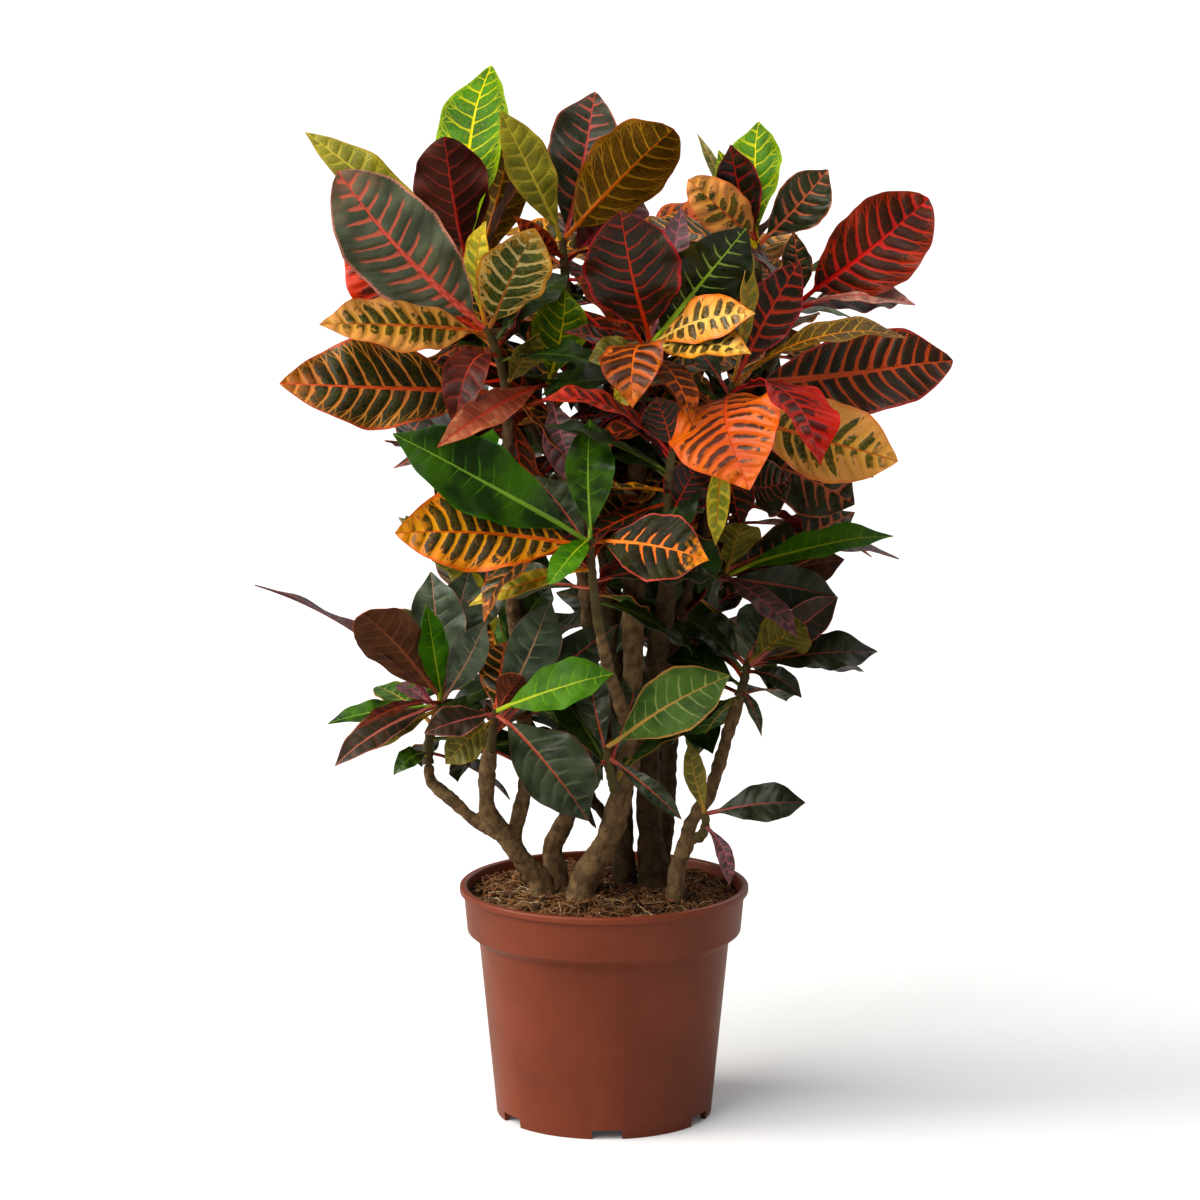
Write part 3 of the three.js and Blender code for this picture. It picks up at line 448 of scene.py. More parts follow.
STEMS: tuple[StemRow, ...] = (
    StemRow("wood_left", rows_of(BranchRow,
        (8.5, 5.5, "left_low_front", (
            (-46, -22, 130), (-46, -22, 178), (-55, -26, 189), (-71, -34, 213), (-83, -40, 232),
            (-84, -48, 250), (-83, -56, 268),
        )),
        (5.5, 4.2, "left_low", (
            (-73, -34, 213), (-91, -37, 224), (-105, -38, 237), (-118, -37, 248),
            (-125, -36, 255),
        )),
        (6.5, 4.2, "left_top", (
            (-66, -30, 208), (-61, -24, 229), (-56, -18, 251), (-59, -12, 308), (-66, -15, 382),
            (-68, -25, 456),
        )),
    )),
    StemRow("wood_left_back", rows_of(BranchRow,
        (9, 4.2, "left_inner", (
            (-35, 0, 130), (-35, 0, 178), (-38, 2, 194), (-28, 5, 216), (-19, 5, 238),
            (-10, 0, 306), (-13, -10, 381), (-23, -20, 441),
        )),
    )),
    StemRow("wood_front", rows_of(BranchRow,
        (10, 7.5, "centre_front", (
            (-15, -30, 130), (-15, -30, 178), (-7, -34, 194), (4, -38, 215), (11, -42, 241),
            (18, -46, 272), (20, -42, 315), (21, -42, 387), (22, -54, 461),
        )),
        (5.5, 4.2, "front_low", (
            (11, -42, 237), (11, -50, 244),
        )),
        (6.5, 4.2, "front_big", (
            (20, -46, 277), (13, -62, 311), (3, -85, 345),
        )),
    )),
    StemRow("wood_middle", rows_of(BranchRow,
        (8.5, 4.2, "middle_top", (
            (15, 10, 130), (15, 10, 176), (14, 14, 229), (14, 18, 287), (6, 20, 361),
            (-3, 20, 434), (-13, 18, 508),
        )),
        (5.5, 4.2, "left_high", (
            (7, 20, 346), (-17, 24, 404), (-46, 18, 464), (-69, 8, 523),
        )),
        (5.5, 4.2, "right_top", (
            (1, 20, 383), (26, 40, 431), (69, 26, 492), (97, 8, 538),
        )),
    )),
    StemRow("wood_right", rows_of(BranchRow,
        (11, 6.5, "centre_low", (
            (36, 4, 130), (36, 4, 180), (33, 6, 208), (32, 2, 257), (34, -14, 316),
            (42, -52, 374), (45, -80, 415),
        )),
        (6, 4.2, "right_front", (
            (33, -4, 292), (49, -18, 346), (62, -44, 409), (76, -66, 463),
        )),
        (6, 4.2, "right_inner", (
            (33, 0, 276), (58, 6, 349), (75, 2, 408), (87, -6, 417),
        )),
        (4.6, 4.0, "right_mid", (
            (45, -16, 344), (51, -26, 362), (52, -26, 380),
        )),
        (6.5, 4.2, "right_high", (
            (32, 2, 265), (57, 24, 308), (78, 30, 403), (99, 14, 494),
        )),
    )),
    StemRow("wood_right_front", rows_of(BranchRow,
        (6.5, 4.8, "right_low", (
            (52, -34, 130), (52, -34, 184), (57, -36, 203), (62, -36, 222), (75, -34, 244),
            (84, -30, 270), (91, -27, 295),
        )),
        (4.2, 3.6, "right_foot", (
            (59, -36, 206), (62, -42, 211),
        )),
    )),
    StemRow("wood_back", rows_of(BranchRow,
        (8.5, 4.2, "back_mid_high", (
            (14, 38, 130), (14, 38, 178), (12, 44, 215), (8, 54, 330), (4, 64, 460),
            (4, 72, 530),
        )),
        (5, 4.2, "back_mid", (
            (8, 52, 310), (9, 68, 370), (10, 81, 405),
        )),
        (5.5, 4.2, "back_left_high", (
            (6, 60, 390), (-30, 62, 460), (-62, 62, 515),
        )),
        (5.5, 4.2, "back_left", (
            (11, 47, 240), (-30, 54, 310), (-64, 61, 365),
        )),
        (4.8, 4.2, "back_low_left", (
            (12, 42, 196), (-20, 50, 235), (-50, 58, 266),
        )),
    )),
    StemRow("wood_back_right", rows_of(BranchRow,
        (8, 4.2, "back_right_high", (
            (42, 30, 130), (42, 30, 178), (46, 38, 220), (52, 52, 340), (60, 66, 460),
            (66, 72, 515),
        )),
        (5, 4.2, "back_right", (
            (50, 48, 300), (66, 58, 345), (78, 66, 380),
        )),
        (4.8, 4.2, "back_low_right", (
            (45, 36, 205), (42, 52, 240), (40, 65, 272),
        )),
    )),
)


@dataclass(frozen=True)
class SpeckleFinish:
    """A finish that drifts between two colours, with fine grains of a third.

    Args:
        name: The material's name.
        light: Its lighter colour.
        dark: Its darker colour.
        grain: The colour of its grains.
        rough: Its roughness.
        scale: How many drifts go into a metre.
        stretch: How much closer the pattern is upwards.
        grains: How strongly the grains show.
        relief: The height of the relief, in millimetres.
        shine: How strongly it mirrors.
        damp: How strongly painted shade darkens it towards its dark colour on the right of the
            soil, where the stems' shadow falls.
    """

    name: str
    light: str
    dark: str
    grain: str
    rough: float
    scale: float
    stretch: float
    grains: float
    relief: float
    shine: float = 0.15
    damp: float = 0.0


def loose(name: str, light: str, dark: str) -> SpeckleFinish:
    """Returns the finish of a loose thing that lies on the soil."""
    return SpeckleFinish(name, light, dark, dark, 0.9, 400.0, 1.0, 0.3, 0.15, damp=0.6)


class Stuff(Enum):
    """What the part is made of besides leaves, with the finish of each."""

    POT = SpeckleFinish("terracotta_plastic", "#7d3924", "#70321e", "#96624c",
                        0.4, 16.0, 1.0, 0.05, 0.05, 0.25)
    BARK = SpeckleFinish("bark", "#846a4a", "#56442f", "#241910", 0.86, 170.0, 0.8, 0.85, 1.5)
    SHADED_BARK = SpeckleFinish("shaded_bark", "#4c3a25", "#33271a", "#140e09",
                                0.86, 170.0, 0.8, 0.85, 1.5)
    SPROUT = SpeckleFinish("sprout", "#56502c", "#483824", "#483824", 0.5, 110.0, 0.8, 0.4, 0.6)
    # The peat and the loose bits carry painted shade: their right side is darkened to stand for
    # the stems' shadow.
    PEAT = SpeckleFinish("peat", "#5c3f28", "#22150c", "#22150c",
                         0.96, 150.0, 1.0, 0.5, 1.2, damp=0.8)
    COIR = loose("coir", "#b0845a", "#6a4628")
    ROOTLET = loose("rootlet", "#dccaa8", "#a88c68")
    CHIP = loose("chip", "#6e4a30", "#33211a")
    HUSK = loose("husk", "#9a6a44", "#6e4026")
    PERLITE = loose("perlite", "#e4e0d6", "#c8c0b0")


SRGB_SLOPE, SRGB_TOE, SRGB_SHIFT, SRGB_POWER = 12.92, 0.04045, 0.055, 2.4


def linear(code: str) -> tuple[float, float, float, float]:
    """Turns a colour code into linear light.

    Args:
        code: The colour as #rrggbb.

    Returns:
        The colour with full opacity.
    """
    parts = [int(code[i:i + 2], 16) / 255 for i in (1, 3, 5)]
    red, green, blue = (c / SRGB_SLOPE if c <= SRGB_TOE
                        else ((c + SRGB_SHIFT) / (1 + SRGB_SHIFT)) ** SRGB_POWER for c in parts)
    return (red, green, blue, 1.0)


def deselect() -> None:
    """Clears the selection."""
    for obj in list(bpy.context.selected_objects):
        obj.select_set(False)


def pick(obj: Object) -> None:
    """Makes one object the selected and active one.

    Args:
        obj: The object.
    """
    deselect()
    obj.select_set(True)
    bpy.context.view_layer.objects.active = obj


def primitive(add: Callable[..., set[str]], **values: object) -> Object:
    """Adds a mesh primitive with nothing else selected.

    Args:
        add: The operator that adds it.
        values: Its settings.

    Returns:
        Its object.
    """
    deselect()
    add(**values)
    return bpy.context.object


def add_object(name: str, data: ID) -> Object:
    """Puts an object into the scene.

    Args:
        name: The object's name.
        data: The mesh, curve, lamp or camera.

    Returns:
        The object.
    """
    obj = bpy.data.objects.new(name, data)
    bpy.context.collection.objects.link(obj)
    return obj


def clothe(obj: Object, material: Material) -> None:
    """Gives an object one material in place of what it had."""
    obj.data.materials.clear()
    obj.data.materials.append(material)


def soften(obj: Object, crease: float | None = None) -> None:
    """Shades an object smooth.

    Args:
        obj: The object.
        crease: The angle from which an edge stays sharp, in degrees.
    """
    pick(obj)
    if crease is None:
        bpy.ops.object.shade_smooth()
    else:
        bpy.ops.object.shade_smooth_by_angle(angle=math.radians(crease))


def apply_modifier(obj: Object, kind: str, **values: object) -> None:
    """Adds a modifier and applies it.

    Args:
        obj: The object that it shapes.
        kind: The modifier's type.
        values: Its settings.
    """
    pick(obj)
    modifier = obj.modifiers.new(kind.lower(), kind)
    for key, value in values.items():
        setattr(modifier, key, value)
    bpy.ops.object.modifier_apply(modifier=modifier.name)


def join(pieces: list[Object], name: str) -> Object:
    """Joins objects into one and names it.

    Args:
        pieces: What is joined.
        name: The name of the whole.

    Returns:
        The joined object.
    """
    deselect()
    for piece in pieces:
        piece.select_set(True)
    bpy.context.view_layer.objects.active = pieces[0]
    bpy.ops.object.join()
    whole = bpy.context.view_layer.objects.active
    whole.name = whole.data.name = name
    return whole


def declare(piece: Object, node: str | None = None) -> None:
    """Ties a finished piece to the part.

    Args:
        piece: The piece.
        node: The CAD node that it stands for, if it stands for one.
    """
    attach(piece, "root")
    if node is not None:
        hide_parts(node)
    faces = sum(len(polygon.vertices) - 2 for polygon in piece.data.polygons)
    LOG.info("%s: %d triangles", piece.name, faces)


COLOUR, NUMBER = "NodeSocketColor", "NodeSocketFloat"
NOISE = (0.3, 0.7)
Feed = NodeSocket | float | tuple[float, ...]


class Nodes:
    """Adds and links shader nodes in one tree."""

    def __init__(self, tree: NodeTree) -> None:
        """Args: tree, the node tree that is filled."""
        self.tree = tree

    def add(self, kind: str, **values: object) -> Node:
        """Adds a node and sets its properties.

        Args:
            kind: The node's type.
            values: Its properties.

        Returns:
            The node.
        """
        node = self.tree.nodes.new(kind)
        for key, value in values.items():
            setattr(node, key, value)
        return node

    def feed(self, node: Node, feeds: dict[int | str, Feed]) -> None:
        """Links sockets or sets constants on them.

        Args:
            node: The node that is fed.
            feeds: What goes into each of its inputs, by number or name.
        """
        for key, value in feeds.items():
            if isinstance(value, NodeSocket):
                self.tree.links.new(value, node.inputs[key])
            else:
                node.inputs[key].default_value = value

    def put(self, kind: str, feeds: dict[int | str, Feed], out: int | str = 0,
            **values: object) -> NodeSocket:
        """Adds a node and feeds it.

        Args:
            kind: The node's type.
            feeds: What goes into each of its inputs, by number or name.
            out: The number or name of the output that is used.
            values: Its properties.

        Returns:
            The output.
        """
        node = self.add(kind, **values)
        self.feed(node, feeds)
        return node.outputs[out]

    def math(self, operation: str, *values: Feed) -> NodeSocket:
        """Returns the result of one Math node on the values."""
        return self.put("ShaderNodeMath", dict(enumerate(values)), operation=operation)

    def fold(self, operation: str, values: tuple[Feed, ...]) -> NodeSocket:
        """Returns the result of a Math operation over all the values, two at a time."""
        return reduce(lambda first, second: self.math(operation, first, second), values)

    def times(self, *values: Feed) -> NodeSocket:
        """Returns the product of the values."""
        return self.fold("MULTIPLY", values)

    def plus(self, *values: Feed) -> NodeSocket:
        """Returns the sum of the values."""
        return self.fold("ADD", values)

    def most(self, *values: Feed) -> NodeSocket:
        """Returns the largest of the values."""
        return self.fold("MAXIMUM", values)

    def minus(self, value: Feed, less: Feed) -> NodeSocket:
        """Returns the difference of two values."""
        return self.math("SUBTRACT", value, less)

    def smooth(self, value: Feed, low: Feed, high: Feed, start: Feed = 0.0,
               end: Feed = 1.0) -> NodeSocket:
        """Eases from one level to another.

        Args:
            value: What is read.
            low: Where the change begins.
            high: Where it ends.
            start: The level before it.
            end: The level after it.

        Returns:
            The eased level.
        """
        feeds = {"Value": value, "From Min": low, "From Max": high, "To Min": start,
                 "To Max": end}
        return self.put("ShaderNodeMapRange", feeds, "Result",
                        interpolation_type="SMOOTHSTEP")

    def fade(self, value: Feed, low: Feed, high: Feed) -> NodeSocket:
        """Returns a level that eases from 1 down to 0."""
        return self.smooth(value, low, high, 1.0, 0.0)

    def past(self, value: Feed, place: Feed, before: float, after: float) -> NodeSocket:
        """Returns a level that eases from 0 to 1 around a place."""
        return self.smooth(value, self.plus(place, before), self.plus(place, after))

    def mix(self, share: Feed, first: Feed, second: Feed) -> NodeSocket:
        """Returns the mix of two colours."""
        return self.put("ShaderNodeMix", {0: share, 6: first, 7: second}, 2, data_type="RGBA")

    def blend(self, share: Feed, first: Feed, second: Feed) -> NodeSocket:
        """Returns the mix of two numbers."""
        return self.put("ShaderNodeMix", {0: share, 2: first, 3: second}, data_type="FLOAT")

    def grain(self, place: Feed, scale: float, detail: float) -> NodeSocket:
        """Returns noise from 0 to 1 at a place."""
        feeds = {"Vector": place, "Scale": scale, "Detail": detail}
        return self.put("ShaderNodeTexNoise", feeds, "Fac")

    def draw(self, x: Feed, y: Feed, out: str) -> NodeSocket:
        """Returns a value or a colour that is drawn for each pair of whole numbers."""
        feeds = {"Vector": self.point(x, y, 0.0)}
        return self.put("ShaderNodeTexWhiteNoise", feeds, out, noise_dimensions="2D")

    def point(self, x: Feed, y: Feed, z: Feed) -> NodeSocket:
        """Returns a vector from its three parts."""
        return self.put("ShaderNodeCombineXYZ", {0: x, 1: y, 2: z})

    def split(self, vector: Feed) -> tuple[NodeSocket, ...]:
        """Returns the three parts of a vector."""
        return tuple(self.put("ShaderNodeSeparateXYZ", {0: vector}).node.outputs)


def new_material(name: str, rough: float, shine: float) -> tuple[Material, Nodes, Node]:
    """Starts a material with one Principled BSDF.

    Args:
        name: The material's name.
        rough: Its roughness where no pattern drives it.
        shine: How strongly it mirrors.

    Returns:
        The material, its node adder and its shader.
    """
    material = bpy.data.materials.new(name)
    material.use_nodes = True
    shader = material.node_tree.nodes["Principled BSDF"]
    shader.inputs["Roughness"].default_value = rough
    shader.inputs["Specular IOR Level"].default_value = shine
    return material, Nodes(material.node_tree), shader


class Pattern:
    """A shader node group that gives a colour, a roughness and a height."""

    NAME: str
    COLOURS: tuple[str, ...]
    NUMBERS: tuple[str, ...]

    def __init__(self) -> None:
        """Builds the group with its sockets and fills it."""
        self.tree = bpy.data.node_groups.new(self.NAME, "ShaderNodeTree")
        sockets = [(label, "INPUT", COLOUR) for label in self.COLOURS]
        sockets += [(label, "INPUT", NUMBER) for label in self.NUMBERS]
        sockets += [("Color", "OUTPUT", COLOUR), ("Roughness", "OUTPUT", NUMBER),
                    ("Height", "OUTPUT", NUMBER)]
        for label, way, kind in sockets:
            self.tree.interface.new_socket(name=label, in_out=way, socket_type=kind)
        n = Nodes(self.tree)
        taken = n.add("NodeGroupInput").outputs
        result = n.add("NodeGroupOutput")
        n.feed(result, dict(enumerate(self.fill(n, taken))))

    def fill(self, n: Nodes, take: bpy_prop_collection) -> tuple[NodeSocket, ...]:
        """Fills the group and returns its colour, roughness and height."""
        raise NotImplementedError

    def wear(self, name: str, values: tuple[Feed, ...], rough: float, shine: float,
             strength: float, depth: float) -> Material:
        """Builds a material whose colour, roughness and relief come from the group.

        Args:
            name: The material's name.
            values: What goes into the group, in the order of its inputs.
            rough: Its roughness.
            shine: How strongly it mirrors.
            strength: The strength of the relief.
            depth: The height of the relief, in millimetres.

        Returns:
            The material.
        """
        material, n, shader = new_material(name, rough, shine)
        group = n.add("ShaderNodeGroup", node_tree=self.tree)
        n.feed(group, dict(enumerate(values)))
        colour, level, height = group.outputs
        bump = n.put("ShaderNodeBump", {"Strength": strength, "Distance": depth * MM,
                                        "Height": height}, "Normal")
        n.feed(shader, {"Base Color": colour, "Roughness": level, "Normal": bump})
        return material


class LeafPattern(Pattern):
    """Paints a leaf's face from where each point lies on the blade.

    It reads leaf_place (share of the blade's length, distance from the midrib over the length,
    share of the half width) and leaf_draw (a draw of the leaf, its number of side veins).
    Two numbers in a tuple are where a change begins and ends. The next two are the levels
    before and after it.
    """

    NAME = "croton_leaf_pattern"
    COLOURS = ("Ground", "Ground Far", "Vein", "Vein Far", "Midrib", "Margin", "Field")
    NUMBERS = ("Vein Share", "Vein Share Far", "Run", "Reach", "Rib", "Edge", "Net", "Tip",
               "Rough", "Relief")
    SLANT = 0.3
    CURL = 2.0
    SHIFT = 37.0
    SIDE_STEP = 0.45
    WANDER = 0.6
    JITTER = 0.09
    RUN_SPREAD = 0.42
    FORK_SPREAD = 0.95
    NET_SCALE = 2.6
    NET_SHARE = 0.38
    DOT_SHARE = 0.7
    GRAINS = ((5.0, 2.0), (24.0, 3.0), (90.0, 3.0))
    ROUGH_DRIFT = (*NOISE, -0.05, 0.07)
    VEIN_ROUGH = 0.05
    WIDTH_DRIFT = (*NOISE, 0.78, 1.2)
    WIDTH_DRAW = (0.0, 1.0, 0.6, 1.22)
    WIDTH_AT_RIB = (0.0, 0.16, 1.7, 1.0)
    RUN_FADE = 0.16
    VEIN_CORE = 0.74
    VEIN_EDGE = 1.14
    VEIN_BLUR = 0.03
    FORK_SPAN = (0.5, 0.96)
    FORK_START = (0.5, 0.62)
    FORK_NET = (0.0, 0.35)
    FORK_WIDTH = 0.34
    FORK_CORE = 0.5
    FORK_BLUR = 0.05
    NET_LINE = (0.02, 0.09)
    DOTS = (0.6, 0.68)
    DOT_NET = (0.18, 0.5)
    DOT_FIELD = (0.35, 0.8)
    LOOP_BOW = 0.1
    LOOP_AT = 0.84
    LOOP_LINE = (0.01, 0.05)
    LOOP_NET = (0.1, 0.5)
    RIB_TAPER = (0.0, 1.0, 1.15, 0.22)
    RIB_CORE = 0.55
    RAGGED = (*NOISE, -0.22, 0.22)
    ISLANDS = (0.0, 1.0, -0.22, 0.3)
    REACH_FADE = (-0.14, 0.1)
    TIP_DRIFT = (*NOISE, -0.06, 0.06)
    TIP_SPAN = (0.78, 0.97)
    PATCHES = (0.35, 0.65)
    VEIN_CHANGE = (0.1, 0.9)
    MARGIN_DRIFT = (*NOISE, 0.6, 1.6)
    MARGIN_FADE = (-0.03, 0.01)
    STALK = (-0.02, 0.03)
    LEAF_LEVEL = (0.0, 1.0, 0.84, 1.14)
    PATCH_LEVEL = (*NOISE, 0.9, 1.1)
    FINE_LEVEL = (0.25, 0.75, 0.94, 1.06)
    HUES = (0.0, 1.0, 0.492, 0.508)
    SWELL = (0.0, 0.85, -0.75, 0.45)
    SWELL_FADE = (0.75, 1.0, 1.0, 0.2)
    HEIGHTS = (-0.8, -0.1, 0.25, 0.08)
    SATURATION = 1.06
    HUE_TURNS = 7.3
    QUILTING = 3.2
    MATT_ABOVE = 0.45
    MATT_SHINE = 0.12
    GLOSS_SHINE = 0.28
    UNDER_ROUGHER = 0.1
    BUMP = 0.9
    BUMP_DEPTH = 0.95

    def fill(self, n: Nodes, take: bpy_prop_collection) -> tuple[NodeSocket, ...]:
        """Fills the group from the inside of the leaf outwards.

        Args:
            n: The node adder of the group.
            take: The group's inputs, by name.

        Returns:
            The colour, the roughness and the height.
        """
        self.n, self.take = n, take
        place, draw = (n.add("ShaderNodeAttribute", attribute_name=name).outputs["Vector"]
                       for name in ("leaf_place", "leaf_draw"))
        self.along, self.across, share = n.split(place)
        self.seed, self.count, _ = n.split(draw)
        self.out, self.far = (n.math("ABSOLUTE", value) for value in (self.across, share))
        self.side = n.math("GREATER_THAN", self.across, 0.0)
        shift = n.times(self.seed, self.SHIFT)
        spot = n.point(self.along, self.across, shift)
        self.broad, self.middle, self.fine = (
            n.grain(spot, *grain) for grain in self.GRAINS)
        start = n.minus(n.minus(self.along, n.times(self.out, self.SLANT)),
                        n.times(self.out, self.out, self.CURL))
        self.turn = n.plus(n.times(start, self.count), n.times(self.side, self.SIDE_STEP),
                           n.times(self.broad, self.WANDER), n.times(self.middle, self.JITTER),
                           shift)
        self.apart = n.times(n.math("ABSOLUTE", n.minus(n.math("FRACT", self.turn), 0.5)), 2.0)
        veins, net = self.veins(), self.net()
        ribs = self.ribs()
        rough = n.plus(take["Rough"], n.smooth(self.middle, *self.ROUGH_DRIFT),
                       n.times(veins, self.VEIN_ROUGH))
        return self.colour(veins, net, ribs), rough, self.swell(net, ribs)

    def veins(self) -> NodeSocket:
        """Draws the side veins and their forks at the margin.

        Returns:
            Their level, 1 on a vein and 0 beside it.
        """
        n, take, far, apart = self.n, self.take, self.far, self.apart
        drawn = n.draw(n.math("FLOOR", self.turn), self.side, "Color")
        first, second, _ = n.split(drawn)
        width = n.times(n.blend(far, take["Vein Share"], take["Vein Share Far"]),
                        n.smooth(self.middle, *self.WIDTH_DRIFT),
                        n.smooth(first, *self.WIDTH_DRAW), n.smooth(far, *self.WIDTH_AT_RIB))
        run = n.plus(take["Run"], n.times(second, self.RUN_SPREAD))
        lasts = n.fade(far, n.minus(run, self.RUN_FADE), run)
        edge = n.plus(n.times(width, self.VEIN_EDGE), self.VEIN_BLUR)
        veins = n.times(n.fade(apart, n.times(width, self.VEIN_CORE), edge), lasts)
        spread = n.times(n.smooth(far, *self.FORK_SPAN), self.FORK_SPREAD)
        thin = n.plus(n.times(take["Vein Share Far"], self.FORK_WIDTH), self.VEIN_BLUR)
        fork = n.fade(n.math("ABSOLUTE", n.minus(apart, spread)), n.times(thin, self.FORK_CORE),
                      n.plus(thin, self.FORK_BLUR))
        return n.most(veins, n.times(fork, n.smooth(far, *self.FORK_START),
                                     n.smooth(take["Net"], *self.FORK_NET), lasts))

    def net(self) -> NodeSocket:
        """Draws the fine network and the specks between the veins.

        Returns:
            Their level.
        """
        n, net = self.n, self.take["Net"]
        spot = n.point(self.turn, n.times(self.across, self.count), 0.0)
        edge = n.put("ShaderNodeTexVoronoi", {"Vector": spot, "Scale": self.NET_SCALE},
                     "Distance", feature="DISTANCE_TO_EDGE")
        lines = n.times(n.fade(edge, *self.NET_LINE), net, self.NET_SHARE)
        dots = n.times(n.smooth(self.fine, *self.DOTS), n.smooth(net, *self.DOT_NET),
                       n.smooth(self.apart, *self.DOT_FIELD), self.DOT_SHARE)
        return n.most(lines, dots)

    def loops(self) -> NodeSocket:
        """Draws the loops that join the veins along the margin.

        Returns:
            Their level.
        """
        n = self.n
        arc = n.plus(n.times(self.apart, self.LOOP_BOW), self.LOOP_AT)
        return n.times(n.fade(n.math("ABSOLUTE", n.minus(self.far, arc)), *self.LOOP_LINE),
                       n.smooth(self.take["Net"], *self.LOOP_NET))

    def ribs(self) -> NodeSocket:
        """Draws the midrib.

        Returns:
            Its level.
        """
        n = self.n
        rib = n.times(self.take["Rib"], n.smooth(self.along, *self.RIB_TAPER))
        return n.fade(self.out, n.times(rib, self.RIB_CORE), rib)

    def field(self) -> NodeSocket:
        """Works out how far a point is beyond the ground, at the margin or at the tip.

        Returns:
            The level, from 0 on the ground to 1.
        """
        n, reach = self.n, self.take["Reach"]
        drawn = n.draw(n.math("FLOOR", n.plus(self.turn, 0.5)), self.side, "Value")
        ragged = n.plus(self.far, n.smooth(self.middle, *self.RAGGED),
                        n.smooth(drawn, *self.ISLANDS))
        beyond = n.past(ragged, reach, *self.REACH_FADE)
        ends = n.smooth(n.plus(self.along, n.smooth(self.middle, *self.TIP_DRIFT)),
                        *self.TIP_SPAN)
        return n.most(beyond, n.times(ends, self.take["Tip"]))

    def colour(self, veins: NodeSocket, net: NodeSocket, ribs: NodeSocket) -> NodeSocket:
        """Returns the colour of the face.

        Args:
            veins: Where the side veins run.
            net: The network between them.
            ribs: Where the midrib runs.

        Returns:
            The colour, changed a little from leaf to leaf.
        """
        n, take, far = self.n, self.take, self.far
        ground = n.mix(n.smooth(self.broad, *self.PATCHES), take["Ground"], take["Ground Far"])
        vein = n.mix(n.smooth(far, *self.VEIN_CHANGE), take["Vein"], take["Vein Far"])
        colour = n.mix(self.field(), ground, take["Field"])
        colour = n.mix(n.most(veins, self.loops(), net), colour, vein)
        rim = n.minus(1.0, n.times(take["Edge"], n.smooth(self.fine, *self.MARGIN_DRIFT)))
        colour = n.mix(n.past(far, rim, *self.MARGIN_FADE), colour, take["Margin"])
        stalk = n.fade(self.along, *self.STALK)
        colour = n.mix(n.most(ribs, stalk), colour, take["Midrib"])
        level = n.times(n.smooth(self.seed, *self.LEAF_LEVEL),
                        n.smooth(self.broad, *self.PATCH_LEVEL),
                        n.smooth(self.fine, *self.FINE_LEVEL))
        hue = n.smooth(n.math("FRACT", n.times(self.seed, self.HUE_TURNS)), *self.HUES)
        feeds = {"Color": colour, "Value": level, "Saturation": self.SATURATION, "Hue": hue}
        return n.put("ShaderNodeHueSaturation", feeds, "Color")

    def swell(self, net: NodeSocket, ribs: NodeSocket) -> NodeSocket:
        """Raises the face between the veins.

        Args:
            net: The network between them.
            ribs: Where the midrib runs.

        Returns:
            The height of the face.
        """
        n = self.n
        swell = n.times(n.smooth(self.apart, *self.SWELL),
                        n.smooth(self.far, *self.SWELL_FADE))
        marks = zip((ribs, net, self.middle, self.fine), self.HEIGHTS)
        swell = n.plus(swell, *(n.times(mark, height) for mark, height in marks))
        return n.times(swell, self.take["Relief"])

    def material(self, tint: Tint, under: bool) -> Material:
        """Builds the material of one face.

        Args:
            tint: Its colouring.
            under: Whether it is the lower face, where the veins stand out.

        Returns:
            The material.
        """
        look, fields, colours = tint.value, astuple(tint.value), len(self.COLOURS)
        rough = look.rough + (self.UNDER_ROUGHER if under else 0.0)
        relief = min(1.0, (self.QUILTING * look.share) ** 2) * (-1.0 if under else 1.0)
        values = (*map(linear, fields[:colours]), *fields[colours:-2], rough, relief)
        shine = self.MATT_SHINE if under or look.rough > self.MATT_ABOVE else self.GLOSS_SHINE
        part = "under" if under else "upper"
        return self.wear(f"leaf_{tint.name.lower()}_{part}", values, rough, shine, self.BUMP,
                         self.BUMP_DEPTH)


